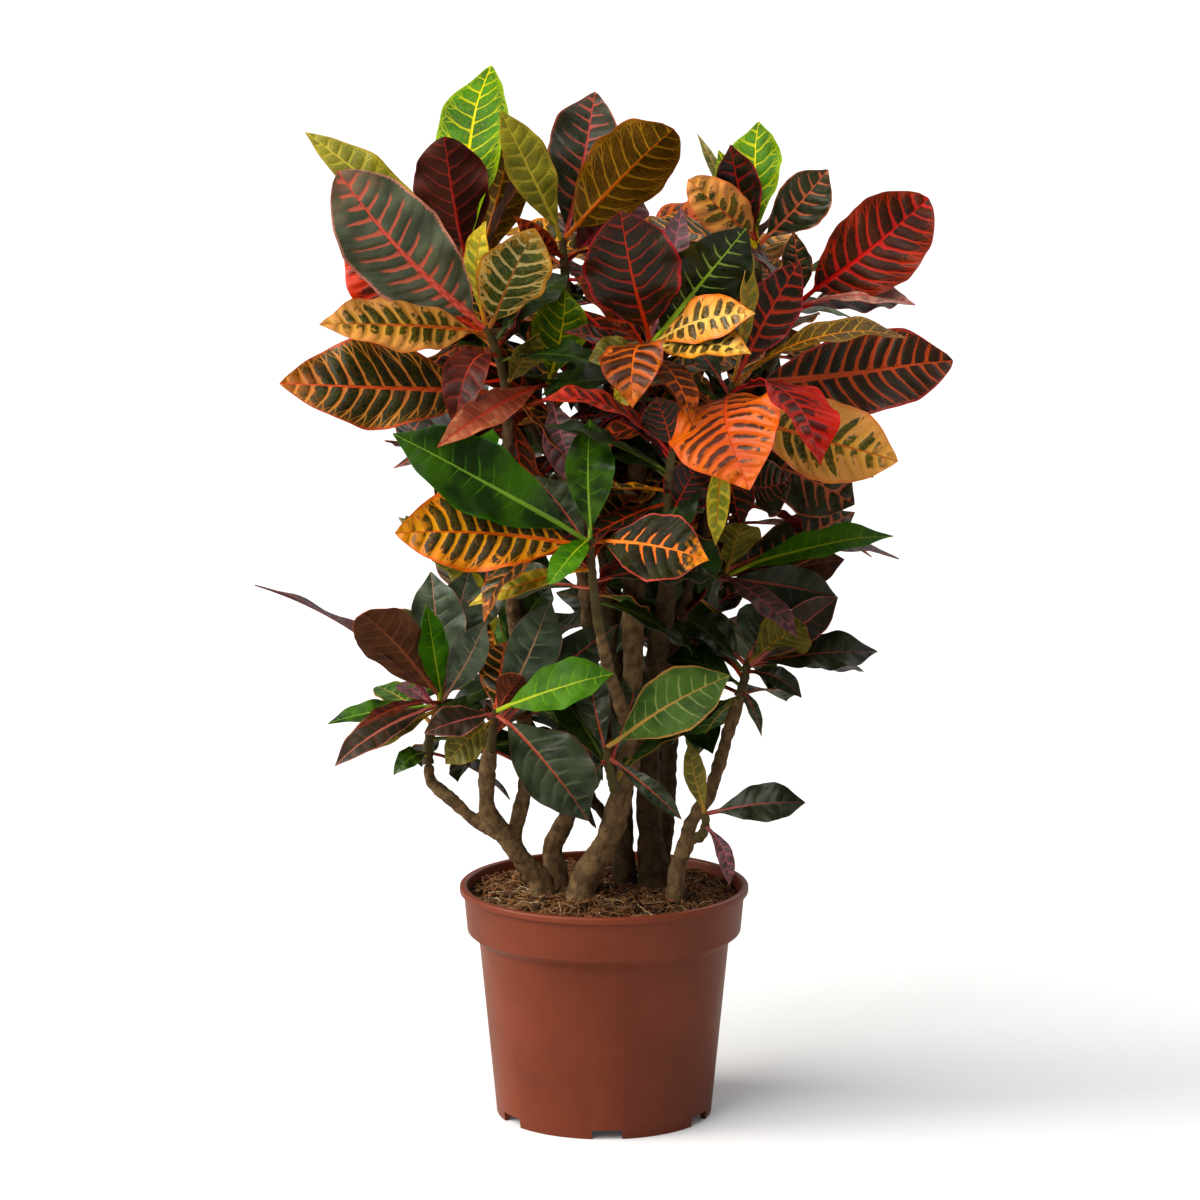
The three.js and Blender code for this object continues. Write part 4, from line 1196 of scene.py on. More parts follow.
class SpecklePattern(Pattern):
    """Drifts between two colours, with fine grains of a third, and darkens the right of the soil
    with painted shade.
    """

    NAME = "speckle"
    COLOURS = ("Light", "Dark", "Grain")
    NUMBERS = ("Rough", "Scale", "Stretch", "Grains", "Damp")
    GRAINS = ((1.0, 5.0), (6.0, 4.0))
    GRAIN_LEVELS = (0.58, 0.72)
    ROUGH_DRIFT = (-0.04, 0.05)
    FINE_HEIGHT = 0.4
    PAINTED_SHADE_FROM = -0.04
    PAINTED_SHADE_TO = 0.004
    PAINTED_SHADE_DRIFT = 0.03

    def fill(self, n: Nodes, take: bpy_prop_collection) -> tuple[NodeSocket, ...]:
        """Fills the group.

        Args:
            n: The node adder of the group.
            take: The group's inputs, by name.

        Returns:
            The colour, the roughness and the height.
        """
        x, y, z = n.split(n.add("ShaderNodeTexCoord").outputs["Object"])
        scale = take["Scale"]
        spot = n.point(n.times(x, scale), n.times(y, scale),
                       n.times(z, n.times(scale, take["Stretch"])))
        drift, fine = (n.grain(spot, *grain) for grain in self.GRAINS)
        colour = n.mix(n.smooth(drift, *NOISE), take["Light"], take["Dark"])
        colour = n.mix(n.times(n.smooth(fine, *self.GRAIN_LEVELS), take["Grains"]), colour,
                       take["Grain"])
        # Painted shade: from a little left of the pot's axis rightwards, the colour darkens to
        # the dark colour, standing for the stems' shadow on the soil.
        damp = n.smooth(n.plus(x, n.times(drift, self.PAINTED_SHADE_DRIFT)), self.PAINTED_SHADE_FROM, self.PAINTED_SHADE_TO)
        colour = n.mix(n.times(damp, take["Damp"]), colour, take["Dark"])
        rough = n.smooth(drift, *NOISE, *(n.plus(take["Rough"], d) for d in self.ROUGH_DRIFT))
        return colour, rough, n.plus(drift, n.times(fine, self.FINE_HEIGHT))

    def material(self, look: SpeckleFinish) -> Material:
        """Builds the material of one finish.

        Args:
            look: The finish.

        Returns:
            The material.
        """
        values = (linear(look.light), linear(look.dark), linear(look.grain), look.rough,
                  look.scale, look.stretch, look.grains, look.damp)
        return self.wear(look.name, values, look.rough, look.shine, 1.0, look.relief)


class Palette:
    """Every material of the plant: one for each stuff, one for each leaf face that is used."""

    def __init__(self) -> None:
        """Builds both patterns, and the materials that are not a leaf's."""
        speckle = SpecklePattern()
        self.stuff = {stuff: speckle.material(stuff.value) for stuff in Stuff}
        self.leaf = LeafPattern()
        self.faces: dict[tuple[Tint, bool], Material] = {}

    def face(self, tint: Tint, under: bool) -> Material:
        """Finds the material of one face of a leaf, built at its first use.

        Args:
            tint: The leaf's tint.
            under: Whether it is the lower face.

        Returns:
            The material.
        """
        if (tint, under) not in self.faces:
            self.faces[tint, under] = self.leaf.material(tint, under)
        return self.faces[tint, under]


def metres(point: Point) -> Vector:
    """Returns a table's point in metres."""
    return Vector(point) * MM


def ease(value: Array, low: float, high: float) -> Array:
    """Returns a smooth rise from 0 at low to 1 at high."""
    share = np.clip((value - low) / (high - low), 0.0, 1.0)
    return share * share * (3.0 - 2.0 * share)


def blank_slab(along: int, across: int) -> Mesh:
    """Models the flat slab that leaves are shaped from.

    Args:
        along: How many points it has along a leaf.
        across: How many it has across.

    Returns:
        The slab's mesh: two faces and their rim, from -1 to 1 each way.
    """
    slab = primitive(bpy.ops.mesh.primitive_grid_add, x_subdivisions=along,
                     y_subdivisions=across, size=2)
    for _ in ("upper", "under"):
        slab.data.materials.append(None)
    apply_modifier(slab, "SOLIDIFY", thickness=2.0, offset=0.0, material_offset=1)
    mesh = slab.data.copy()
    bpy.data.objects.remove(slab)
    return mesh


@dataclass
class Leaf:
    """One leaf: a stalk, then a blade folded along its midrib, bowed and waved."""

    root: Vector
    tip: Vector
    width: float
    faces: Vector
    arch: float
    phase: float
    upper: Tint
    under: Tint
    blunt: float
    draw: float

    STALK = 0.12
    STALK_WIDTH = 3.4 * MM
    STALK_THICKNESS = 2.4 * MM
    TAPER = 0.85
    TAPER_SPAN = (0.1, 0.9)
    FLATTEST = 0.05
    BLADE_SPAN = (0.0, 0.1)
    THICKNESS = 0.9 * MM
    THINNER = 0.5
    RIB = 0.8 * MM
    RIB_TAPER = 0.8
    RIB_WIDTH = 1.2 * MM
    GROOVE = 0.4
    GROOVE_WIDTH = 1.3 * MM
    WIDEST = 0.56
    FULLNESS = 0.88
    ROUNDER = 0.34
    NARROWER = 0.34
    TIP_SPAN = (0.8, 1.0)
    NICKS = ((0.014, 23, 1.0), (0.009, 49, 2.1))
    FOLD = 0.16
    FOLD_POWER = 1.3
    WAVE = 0.05
    WAVE_RATE = 11
    RIPPLE = 0.105
    RIPPLES = ((21, 1.7, 0.0), (18, 2.9, 1.0))
    RIPPLE_SPAN = (0.0, 0.3)
    LOPSIDED = 0.09
    LEAN_RATE = 40
    TWIST = 0.13
    TWIST_RATE = 2.4
    TURN = 0.2
    NOD = 0.014
    NOD_SPAN = (0.72, 1.0)
    SWAY = 0.022
    VEIN_SPACING = 11.5 * MM
    FEWEST_VEINS = 7.0
    MOST_VEINS = 13.0

    def half_width(self, x: Array, v: Array) -> Array:
        """Works out the distance from the midrib to the margin.

        Args:
            x: Share of the blade's length.
            v: Share of the half width, from -1 to 1.

        Returns:
            The half width at each point.
        """
        power = math.log(0.5) / math.log(self.WIDEST)
        fullness = self.FULLNESS - self.ROUNDER * self.blunt
        outline = np.sin(np.pi * x ** power).clip(0.0) ** fullness
        outline *= 1.0 - self.NARROWER * (1.0 - self.blunt) * ease(x, *self.TIP_SPAN)
        outline *= sum((size * np.sin(rate * x + turn * self.phase)
                        for size, rate, turn in self.NICKS), 1.0)
        outline *= 1.0 + self.LOPSIDED * (2 * self.draw - 1) * np.sign(v)
        slim = self.STALK_WIDTH / 2 * (1.0 - self.TAPER * ease(x, *self.TAPER_SPAN))
        return np.sqrt((self.width / 2 * outline) ** 2 + slim ** 2)

    def relief(self, x: Array, v: Array, half: Array) -> Array:
        """Folds, waves and grooves the blade.

        Args:
            x: Share of the blade's length.
            v: Share of the half width, from -1 to 1.
            half: The half width.

        Returns:
            The rise at each point.
        """
        lift = half * (self.FOLD * np.abs(v) ** self.FOLD_POWER
                       - self.WAVE * np.sin(self.WAVE_RATE * x + self.phase) * v)
        ripple = np.where(v > 0, *(np.sin(rate * x + turn * self.phase + shift)
                                   for rate, turn, shift in self.RIPPLES))
        lift += half * self.RIPPLE * v * v * ripple * ease(x, *self.RIPPLE_SPAN)
        return lift - self.GROOVE * MM * np.exp(-(v * half / self.GROOVE_WIDTH) ** 2)

    def thickness(self, x: Array, v: Array, w: Array, half: Array,
                  blade: Array) -> Array:
        """Works out how far each face lies from the middle of the leaf.

        Args:
            x: Share of the blade's length.
            v: Share of the half width, from -1 to 1.
            w: 1 on the upper face and -1 on the lower.
            half: The half width.
            blade: 0 on the stalk, rising to 1 on the blade.

        Returns:
            The distance at each point.
        """
        flat = self.THICKNESS / 2 * (1.0 - self.THINNER * np.abs(v))
        rib = self.RIB * (1.0 - self.RIB_TAPER * x) * np.exp(-(v * half / self.RIB_WIDTH) ** 2)
        flat += np.where(w < 0, rib, 0.0)
        stalk = self.STALK_THICKNESS / 2 * np.sqrt(np.clip(1 - v * v, self.FLATTEST, 1.0))
        return blade * flat + (1.0 - blade) * stalk

    def surface(self, u: Array, v: Array, w: Array) -> tuple[Array, Array]:
        """Lays the slab's points on the leaf.

        Args:
            u: Share of the way from root to tip.
            v: Share of the half width, from -1 to 1.
            w: 1 on the upper face and -1 on the lower.

        Returns:
            The points, and where each lies on the blade.
        """
        reach = self.tip - self.root
        length, along = reach.length, reach.normalized()
        up = (self.faces - along * self.faces.dot(along)).normalized()
        share = (u - self.STALK) / (1 - self.STALK)
        x = np.clip(share, 0.0, 1.0)
        blade = ease(x, *self.BLADE_SPAN)
        half = self.half_width(x, v)
        lean = math.sin(self.LEAN_RATE * self.draw)
        lift = blade * self.relief(x, v, half)
        lift -= self.NOD * length * (1.0 + lean) * ease(x, *self.NOD_SPAN)
        twist = blade * (self.TWIST * np.sin(self.TWIST_RATE * x + self.phase)
                         + self.TURN * lean * x)
        across = v * half * np.cos(twist) - lift * np.sin(twist)
        across += self.SWAY * length * lean * np.sin(np.pi * x)
        above = lift * np.cos(twist) + v * half * np.sin(twist)
        above += w * self.thickness(x, v, w, half, blade)

        bend = (self.root + self.tip) / 2 + up * (2 * self.arch)
        root, middle, tip, side = (
            np.array(p)[None, :] for p in (self.root, bend, self.tip, along.cross(up)))
        t = u[:, None]
        centre = (1 - t) ** 2 * root + 2 * t * (1 - t) * middle + t * t * tip
        tangent = 2 * (1 - t) * (middle - root) + 2 * t * (tip - middle)
        normal = np.cross(side, tangent)
        normal /= np.linalg.norm(normal, axis=1, keepdims=True)
        points = centre + side * across[:, None] + normal * above[:, None]
        return points, np.stack((share, v * half / length, v), axis=1)

    def build(self, blank: Mesh, palette: Palette) -> Object:
        """Shapes a copy of the slab into this leaf.

        Args:
            blank: The slab.
            palette: Where the faces' materials are kept.

        Returns:
            The leaf's object.
        """
        mesh = blank.copy()
        count = len(mesh.vertices)
        flat = np.empty(count * 3, dtype=np.float32)
        mesh.vertices.foreach_get("co", flat)
        slab = flat.reshape(-1, 3).astype(float)
        points, place = self.surface((slab[:, 0] + 1) / 2, -slab[:, 1], slab[:, 2])
        mesh.vertices.foreach_set("co", points.astype(np.float32).ravel())
        spacing = (self.tip - self.root).length / self.VEIN_SPACING
        veins = min(self.MOST_VEINS, max(self.FEWEST_VEINS, spacing))
        drawn = np.tile((self.draw, veins, 0.0), count)
        for label, values in (("leaf_place", place), ("leaf_draw", drawn)):
            where = mesh.attributes.new(label, "FLOAT_VECTOR", "POINT")
            where.data.foreach_set("vector", values.astype(np.float32).ravel())
        mesh.materials[0] = palette.face(self.upper, False)
        mesh.materials[1] = palette.face(self.under, True)
        return add_object("leaf", mesh)


Path = list[tuple[Vector, float]]


def fine_tube(name: str, paths: list[Path], resolution: int,
              material: Material) -> Object:
    """Draws round tubes along paths and makes them a mesh.

    Args:
        name: The name of the mesh.
        paths: Each path as points with the radius there.
        resolution: How finely the tubes are rounded.
        material: What they are made of.

    Returns:
        The object.
    """
    curve = bpy.data.curves.new(name, "CURVE")
    curve.dimensions = "3D"
    curve.bevel_depth = 1.0
    curve.bevel_resolution = resolution
    curve.use_fill_caps = True
    for path in paths:
        line = curve.splines.new("POLY")
        line.points.add(len(path) - 1)
        for knot, (point, radius) in zip(line.points, path):
            knot.co = (*point, 1.0)
            knot.radius = radius
    pick(add_object(name, curve))
    bpy.ops.object.convert(target="MESH")
    clothe(bpy.context.object, material)
    return bpy.context.object


def gaps(points: list[Vector]) -> list[float]:
    """Returns the distances from each point to the next."""
    return [(b - a).length for a, b in zip(points, points[1:])]


class BranchLine:
    """The line that a branch grows along: a smooth curve through its points."""

    STEPS = 60
    NEAR_END = 0.9999

    def __init__(self, points: list[Vector]) -> None:
        """Args: points, what the line runs through."""
        self.points = [2 * points[0] - points[1], *points, 2 * points[-1] - points[-2]]

    def at(self, share: float) -> Vector:
        """Finds the point at a share of the way along.

        Args:
            share: The share, from 0 to 1.

        Returns:
            The point.
        """
        last = len(self.points) - 3
        i = min(int(last * share), last - 1)
        s = last * share - i
        p0, p1, p2, p3 = self.points[i:i + 4]
        d1 = math.sqrt((p2 - p1).length)
        d0 = math.sqrt((p1 - p0).length) or d1
        d2 = math.sqrt((p3 - p2).length) or d1
        t1 = ((p1 - p0) / d0 - (p2 - p0) / (d0 + d1) + (p2 - p1) / d1) * d1
        t2 = ((p2 - p1) / d1 - (p3 - p1) / (d1 + d2) + (p3 - p2) / d2) * d1
        cubic = 2 * (p1 - p2) + t1 + t2
        square = 3 * (p2 - p1) - 2 * t1 - t2
        return p1 + t1 * s + square * s * s + cubic * s ** 3

    def end_direction(self) -> Vector:
        """Returns the way the line points at its end."""
        return (self.at(1.0) - self.at(self.NEAR_END)).normalized()

    def length(self) -> float:
        """Returns the length of the line."""
        return sum(gaps([self.at(i / self.STEPS) for i in range(self.STEPS + 1)]))


@dataclass
class Shoot:
    """A leafy shoot: its green stem on the end of a branch, and its leaves."""

    name: str
    seat: Vector
    crown: Vector
    leaves: tuple[LeafRow, ...]
    direction: Vector
    behind: bool

    SEAT_GAP = 0.3 * MM
    STRAIGHT = 0.45
    LINE_STEPS = 200
    RINGS = 24
    BASE_RADIUS = 4.1 * MM
    TIP_RADIUS = 2.7 * MM
    ROUNDNESS = 3
    KNOBS = 0.1
    KNOB_SPACING = 7 * MM
    LOWEST_SHARE = 0.02
    ROOT_CLEARANCE = 1.5 * MM
    PHASE = 2.1
    WIDE = 38.0
    CREASE = 50.0

    def stem_line(self) -> list[Vector]:
        """Lays points along the green stem, at equal shares of its curve.

        Returns:
            The points.
        """
        start = self.seat + self.direction * self.SEAT_GAP
        bend = start + self.direction * (self.STRAIGHT * (self.crown - start).length)
        return [(1 - t) ** 2 * start + 2 * t * (1 - t) * bend + t * t * self.crown
                for t in (i / self.LINE_STEPS for i in range(self.LINE_STEPS + 1))]

    @staticmethod
    def at_length(line: list[Vector], share: float) -> Vector:
        """Finds the point at a share of the line's length.

        Args:
            line: Points along it.
            share: The share, from 0 to 1.

        Returns:
            The point.
        """
        steps = gaps(line)
        left = share * sum(steps)
        for a, b, gap in zip(line, line[1:], steps):
            if left <= gap:
                return a.lerp(b, left / gap)
            left -= gap
        return line[-1]

    def stem_path(self, line: list[Vector]) -> Path:
        """Lays out the green stem, which swells at each leaf scar.

        Args:
            line: Points along the green stem.

        Returns:
            Its rings, as point and radius.
        """
        length = sum(gaps(line))
        path = []
        for k in range(self.RINGS + 1):
            t = k / self.RINGS
            swell = 1.0 + self.KNOBS * math.sin(FULL_TURN * t * length / self.KNOB_SPACING)
            radius = (self.BASE_RADIUS + (self.TIP_RADIUS - self.BASE_RADIUS) * t) * swell
            path.append((line[round(self.LINE_STEPS * t)], radius))
        return path

    def leaf(self, i: int, row: LeafRow, line: list[Vector], draw: float) -> Leaf:
        """Places one leaf.

        Args:
            i: How many leaves of the shoot come before it.
            row: Its row.
            line: The line of the green stem.
            draw: Its own draw, from 0 to 1.

        Returns:
            The leaf.
        """
        share = min(1.0, max(self.LOWEST_SHARE, 1 - row.below * MM / sum(gaps(line))))
        root, tip = self.at_length(line, share), metres(row.tip)
        root = root + (tip - root).normalized() * self.ROOT_CLEARANCE
        faces = (row.tint, Tint[row.tint.value.back])
        if row.faces[1] > 0 and not self.behind:
            faces = (Tint.EMBER, row.tint)
        return Leaf(root, tip, row.width * MM, Vector(row.faces), row.arch * MM,
                    self.PHASE * i, *faces, row.blunt, draw)

    def build(self, blanks: dict[bool, Mesh], palette: Palette, slot: str) -> None:
        """Builds the shoot and ties it to the part.

        Args:
            blanks: The fine slab for wide leaves, and the plainer one.
            palette: The materials.
            slot: The record's slot for its finish; not used.
        """
        line = self.stem_line()
        draws = random.Random(self.name)
        pieces = [self.leaf(i, row, line, draws.random()).build(
            blanks[row.width >= self.WIDE and not self.behind], palette)
            for i, row in enumerate(self.leaves)]
        pieces.append(fine_tube("green_stem", [self.stem_path(line)], self.ROUNDNESS,
                                palette.stuff[Stuff.SPROUT]))
        whole = join(pieces, f"{self.name}_leaves")
        soften(whole, self.CREASE)
        declare(whole, self.name)


class LeafRule:
    """A rule for leaves that no row places: they turn round the crown in a fan and sink."""

    GOLDEN = 0.618
    SPACING = 5.0
    OUTWARD = 4
    UPWARD = 10.0
    FORWARD = 0.0
    FIRST_BELOW: float
    SLIMNESS: float
    ARCH: float
    LOW_BELOW: float
    HIGH: tuple[Tint, ...]
    LOW: tuple[Tint, ...]

    def tip(self, crown: Point, below: float, length: float, heading: float,
            rise: float) -> Point:
        """Works out where a leaf ends.

        Args:
            crown: The crown of its shoot.
            below: How far below the crown it grows.
            length: Its length.
            heading: The way it grows, round the pot's axis.
            rise: How steeply it rises.

        Returns:
            Its tip.
        """
        return (crown[0] + length * math.cos(rise) * math.cos(heading),
                crown[1] + length * math.cos(rise) * math.sin(heading),
                crown[2] - below + length * math.sin(rise))

    def leaf(self, crown: Point, i: int, length: float, heading: float, rise: float,
             draws: random.Random) -> LeafRow:
        """Works out one leaf.

        Args:
            crown: The crown of its shoot.
            i: How many leaves of the rule grow above it.
            length: Its length.
            heading: The way it grows, round the pot's axis.
            rise: How steeply it rises.
            draws: Where its colouring is drawn from.

        Returns:
            Its row.
        """
        below = self.FIRST_BELOW + self.SPACING * i
        faces = (self.OUTWARD * math.cos(heading),
                 self.OUTWARD * math.sin(heading) - self.FORWARD, self.UPWARD)
        tint = draws.choice(self.LOW if crown[2] < self.LOW_BELOW else self.HIGH)
        return LeafRow(below, self.tip(crown, below, length, heading, rise),
                       self.SLIMNESS * length, faces, self.ARCH, tint)


class BackRule(LeafRule):
    """The rule of the leaves behind."""

    FAN = 190.0
    LOWEST = -6.0
    TURN_STEP = 9.0
    LIFT_STEP = 8.0
    LENGTH = 92.0
    SPREAD = 30.0
    SLIMNESS = 0.43
    FIRST_BELOW = 3.0
    ARCH = 9.0
    SEED_SHARE = 0.37
    SEED_LENGTH = 0.21
    SEED_SHIFT = 11
    HIGH = (Tint.EMBER, Tint.CRIMSON, Tint.AMBER, Tint.GLOSS, Tint.ROSE, Tint.AMBER_DARK,
            Tint.LIME, Tint.EMBER, Tint.BLAZE, Tint.CREAM)
    LOW = (Tint.DUSK, Tint.GLOSS, Tint.SAGE, Tint.EMBER, Tint.BRIGHT, Tint.ROSE)
    LOW_BELOW = 480.0

    def leaves(self, row: BackRow) -> tuple[LeafRow, ...]:
        """Works out the leaves of one shoot behind.

        Args:
            row: The shoot's row.

        Returns:
            The leaf rows.
        """
        draws = random.Random(row.seed + self.SEED_SHIFT)
        rows = []
        for i, turn in enumerate(row.turns):
            sweep = (self.GOLDEN * (i + 1) + self.SEED_SHARE * row.seed) % 1 - 0.5
            heading = math.radians(row.looks + self.FAN * sweep + self.TURN_STEP * turn)
            sink = (row.steepest - self.LOWEST) * i / (len(row.turns) - 1)
            rise = math.radians(row.steepest - sink + self.LIFT_STEP * row.lifts[i])
            drawn = (self.SEED_SHARE * i + self.SEED_LENGTH * row.seed) % 1
            length = self.LENGTH + self.SPREAD * drawn
            rows.append(self.leaf(row.crown, i, length, heading, rise, draws))
        return tuple(rows)


class InnerRule(LeafRule):
    """The rule of the small shaded leaves inside, which turn in from each shoot.

    A band holds from a height of the crown up: how many leaves grow there, how steeply the
    first of them rises and how steeply the last.
    """

    BANDS = ((600.0, 10, 14.0, -52.0), (480.0, 12, 42.0, -58.0), (380.0, 8, 42.0, -36.0),
             (300.0, 7, 40.0, -34.0), (240.0, 5, 76.0, 34.0), (0.0, 0, 0.0, 0.0))
    FIRST_BELOW = 10.0
    FAN = 200.0
    STRAY = 0.2
    SHORTEST = 62.0
    SPREAD = 40.0
    SLIMNESS = 0.4
    ARCH = 6.0
    FORWARD = 3.0
    HEART = (10.0, 60.0)
    HIGH = (Tint.SHADE, Tint.EMBER, Tint.CRIMSON, Tint.SHADE, Tint.DUSK, Tint.RUBY,
            Tint.AMBER_DARK, Tint.CRIMSON)
    LOW = (Tint.SHADE, Tint.DUSK, Tint.SHADE, Tint.SAGE)
    LOW_BELOW = 460.0
    DEEP_BELOW = 400.0
    DEEP = -35.0

    def tip(self, crown: Point, below: float, length: float, heading: float,
            rise: float) -> Point:
        """Returns where a leaf ends, which low down stays behind the stems in front."""
        x, y, z = super().tip(crown, below, length, heading, rise)
        return (x, max(y, self.DEEP) if z < self.DEEP_BELOW else y, z)

    def leaves(self, name: str, crown: Point) -> tuple[LeafRow, ...]:
        """Works out the inner leaves of one shoot.

        Args:
            name: The shoot's name, which seeds the draws.
            crown: Its crown.

        Returns:
            The leaf rows.
        """
        draws = random.Random(f"inner {name}")
        looks = math.atan2(self.HEART[1] - crown[1], self.HEART[0] - crown[0])
        _, count, steepest, lowest = next(band for band in self.BANDS if crown[2] >= band[0])
        rows = []
        for i in range(count):
            sweep = (self.GOLDEN * (i + 1) + draws.random() * self.STRAY) % 1 - 0.5
            heading = looks + math.radians(self.FAN * sweep)
            rise = math.radians(steepest + (lowest - steepest) * i / (count - 1))
            length = self.SHORTEST + self.SPREAD * draws.random()
            rows.append(self.leaf(crown, i, length, heading, rise, draws))
        return tuple(rows)


@dataclass
class Stem:
    """A woody stem with its branches, one grown piece."""

    name: str
    branches: tuple[BranchRow, ...]
    seats: dict[str, Vector]

    SHADED = ("wood_middle", "wood_right", "wood_back", "wood_back_right")
    STEP = 3.0 * MM
    FEWEST_STEPS = 6
    TURN_DRAW = 6.28
    BASE = 0.94
    SCARS = 0.05
    SCAR = 9.0 * MM
    UNEVEN = 0.16
    UNEVEN_SCALE = 60.0
    FLARE = 0.28
    FLARE_HEIGHT = 166.0 * MM
    FLARE_DEPTH = 16.0 * MM
    ROUNDNESS = 5
    VOXEL = 1.7 * MM
    SMOOTHING = 0.5
    PASSES = 3
    ROUGHNESS = 0.75 * MM
    FINE_SCALE = 380.0
    DRAWN_OUT = 0.5
    BROAD_SCALE = 130.0
    BROAD_SHARE = 1.2

    def line(self, branch: BranchRow) -> BranchLine:
        """Returns the line of one branch, up to the seat of its shoot."""
        return BranchLine([*map(metres, branch.points), self.seats[branch.carries]])

    def path(self, branch: BranchRow, draws: random.Random) -> Path:
        """Lays out one branch.

        Args:
            branch: Its row.
            draws: Where its unevenness is drawn from.

        Returns:
            Points along it with the radius at each.
        """
        line = self.line(branch)
        length = line.length()
        steps = max(self.FEWEST_STEPS, round(length / self.STEP))
        turn = draws.random() * self.TURN_DRAW
        path = []
        for i in range(steps + 1):
            t = i / steps
            point = line.at(t)
            radius = (branch.start_radius + (branch.end_radius - branch.start_radius) * t) * MM
            scar = math.sin(FULL_TURN * t * length / self.SCAR + turn)
            uneven = self.UNEVEN * noise.noise(point * self.UNEVEN_SCALE)
            height = max(0.0, point.z - self.FLARE_HEIGHT)
            flare = self.FLARE * math.exp(-height / self.FLARE_DEPTH)
            path.append((point, radius * (self.BASE + self.SCARS * scar ** 3 + uneven + flare)))
        return path

    def build(self, palette: Palette) -> None:
        """Builds the stem and ties it to the part.

        Args:
            palette: The materials.
        """
        draws = random.Random(self.name)
        paths = [self.path(branch, draws) for branch in self.branches]
        bark = palette.stuff[Stuff.SHADED_BARK if self.name in self.SHADED else Stuff.BARK]
        stem = fine_tube(f"{self.name}_bark", paths, self.ROUNDNESS, bark)
        apply_modifier(stem, "REMESH", mode="VOXEL", voxel_size=self.VOXEL, adaptivity=0.0)
        apply_modifier(stem, "SMOOTH", factor=self.SMOOTHING, iterations=self.PASSES)
        self.roughen(stem.data)
        clothe(stem, bark)
        soften(stem)
        declare(stem, self.name)

    def roughen(self, mesh: Mesh) -> None:
        """Pushes the bark in and out a little.

        Args:
            mesh: The mesh of the stem.
        """
        normals = [vertex.normal.copy() for vertex in mesh.vertices]
        for vertex, normal in zip(mesh.vertices, normals):
            place = vertex.co.copy()
            fine = Vector((place.x, place.y, self.DRAWN_OUT * place.z)) * self.FINE_SCALE
            level = noise.noise(fine)
            level += self.BROAD_SHARE * noise.noise(place * self.BROAD_SCALE)
            vertex.co = place + normal * (self.ROUGHNESS * level)


@dataclass
class NurseryPot:
    """The pot: a moulded shell with a lip, a band, a shoulder and a notched foot ring."""

    height: float = 170 * MM
    rim: float = 105 * MM
    lip: float = 3 * MM
    lip_depth: float = 6 * MM
    band_bottom: float = 99.5 * MM
    band_depth: float = 33.5 * MM
    shoulder_drop: float = 7 * MM
    shoulder: float = 91 * MM
    foot: float = 78.5 * MM
    wall: float = 2.4 * MM
    ring_width: float = 4.5 * MM
    ring_height: float = 7 * MM
    floor: float = 2.5 * MM
    bevel: float = 1 * MM
    step_rise: float = 1.5 * MM
    segments: int = 128
    edge_bevel: float = 0.55 * MM
    edge_angle: float = 24.0
    crease: float = 30.0
    notches: int = 6
    notch_width: float = 22 * MM
    notch_turn: float = 1.5
    notch_gap: float = 0.4 * MM
    drains: int = 6
    drain_radius: float = 5 * MM
    drain_circle: float = 52 * MM
    drain_sides: int = 24

    def profile(self) -> list[tuple[float, float]]:
        """Lists the rings of the shell, from under it to its inside.

        Returns:
            The radius and height of each.
        """
        band, lip = self.height - self.band_depth, self.height - self.lip_depth
        return [
            (self.foot - self.ring_width, self.ring_height),
            (self.foot - self.ring_width + self.bevel, 0.0),
            (self.foot, 0.0),
            (self.shoulder, band - self.shoulder_drop),
            (self.band_bottom, band),
            (self.rim - self.lip, lip),
            (self.rim, lip + self.bevel),
            (self.rim, self.height - self.bevel),
            (self.rim - self.bevel, self.height),
            (self.rim - self.lip - self.wall + self.bevel, self.height),
            *reversed(self.inside()),
        ]

    def inside(self) -> list[tuple[float, float]]:
        """Lists the rings of the inner wall, from the floor up.

        Returns:
            The radius and height of each.
        """
        band = self.height - self.band_depth
        return [
            (self.foot - self.wall, self.ring_height + self.floor),
            (self.shoulder - self.wall, band - self.shoulder_drop + self.step_rise),
            (self.band_bottom - self.wall, band + self.step_rise),
            (self.rim - self.lip - self.wall, self.height - self.bevel),
        ]

    def cutter(self) -> Object:
        """Builds what is cut out of the shell: the notches in the ring and the drains.

        Returns:
            One object of all the cutters.
        """
        cutters = []
        for i in range(self.notches):
            turn = math.radians(-90 + self.notch_turn + 360 * i / self.notches)
            size = Matrix.Diagonal((4 * self.ring_width, self.notch_width,
                                    2 * self.ring_height - self.notch_gap, 1))
            notch = primitive(bpy.ops.mesh.primitive_cube_add, size=1)
            notch.data.transform(Matrix.Rotation(turn, 4, "Z")
                                 @ Matrix.Translation((self.foot, 0, 0)) @ size)
            cutters.append(notch)
        for i in range(self.drains):
            turn = math.radians(360 * (i + 0.5) / self.drains)
            drain = primitive(bpy.ops.mesh.primitive_cylinder_add, vertices=self.drain_sides,
                              radius=self.drain_radius, depth=4 * self.floor)
            drain.data.transform(Matrix.Translation((
                self.drain_circle * math.cos(turn), self.drain_circle * math.sin(turn),
                self.ring_height)))
            cutters.append(drain)
        return join(cutters, "pot_cutter")

    def build(self, palette: Palette) -> None:
        """Builds the pot and ties it to the part.

        Args:
            palette: The materials.
        """
        shell = lathe("pot_shell", self.profile(), self.segments)
        apply_modifier(shell, "BEVEL", width=self.edge_bevel, segments=2, limit_method="ANGLE",
                       angle_limit=math.radians(self.edge_angle))
        cutter = self.cutter()
        apply_modifier(shell, "BOOLEAN", operation="DIFFERENCE", object=cutter, solver="EXACT")
        bpy.data.objects.remove(cutter)
        clothe(shell, palette.stuff[Stuff.POT])
        soften(shell, self.crease)
        declare(shell, "pot")


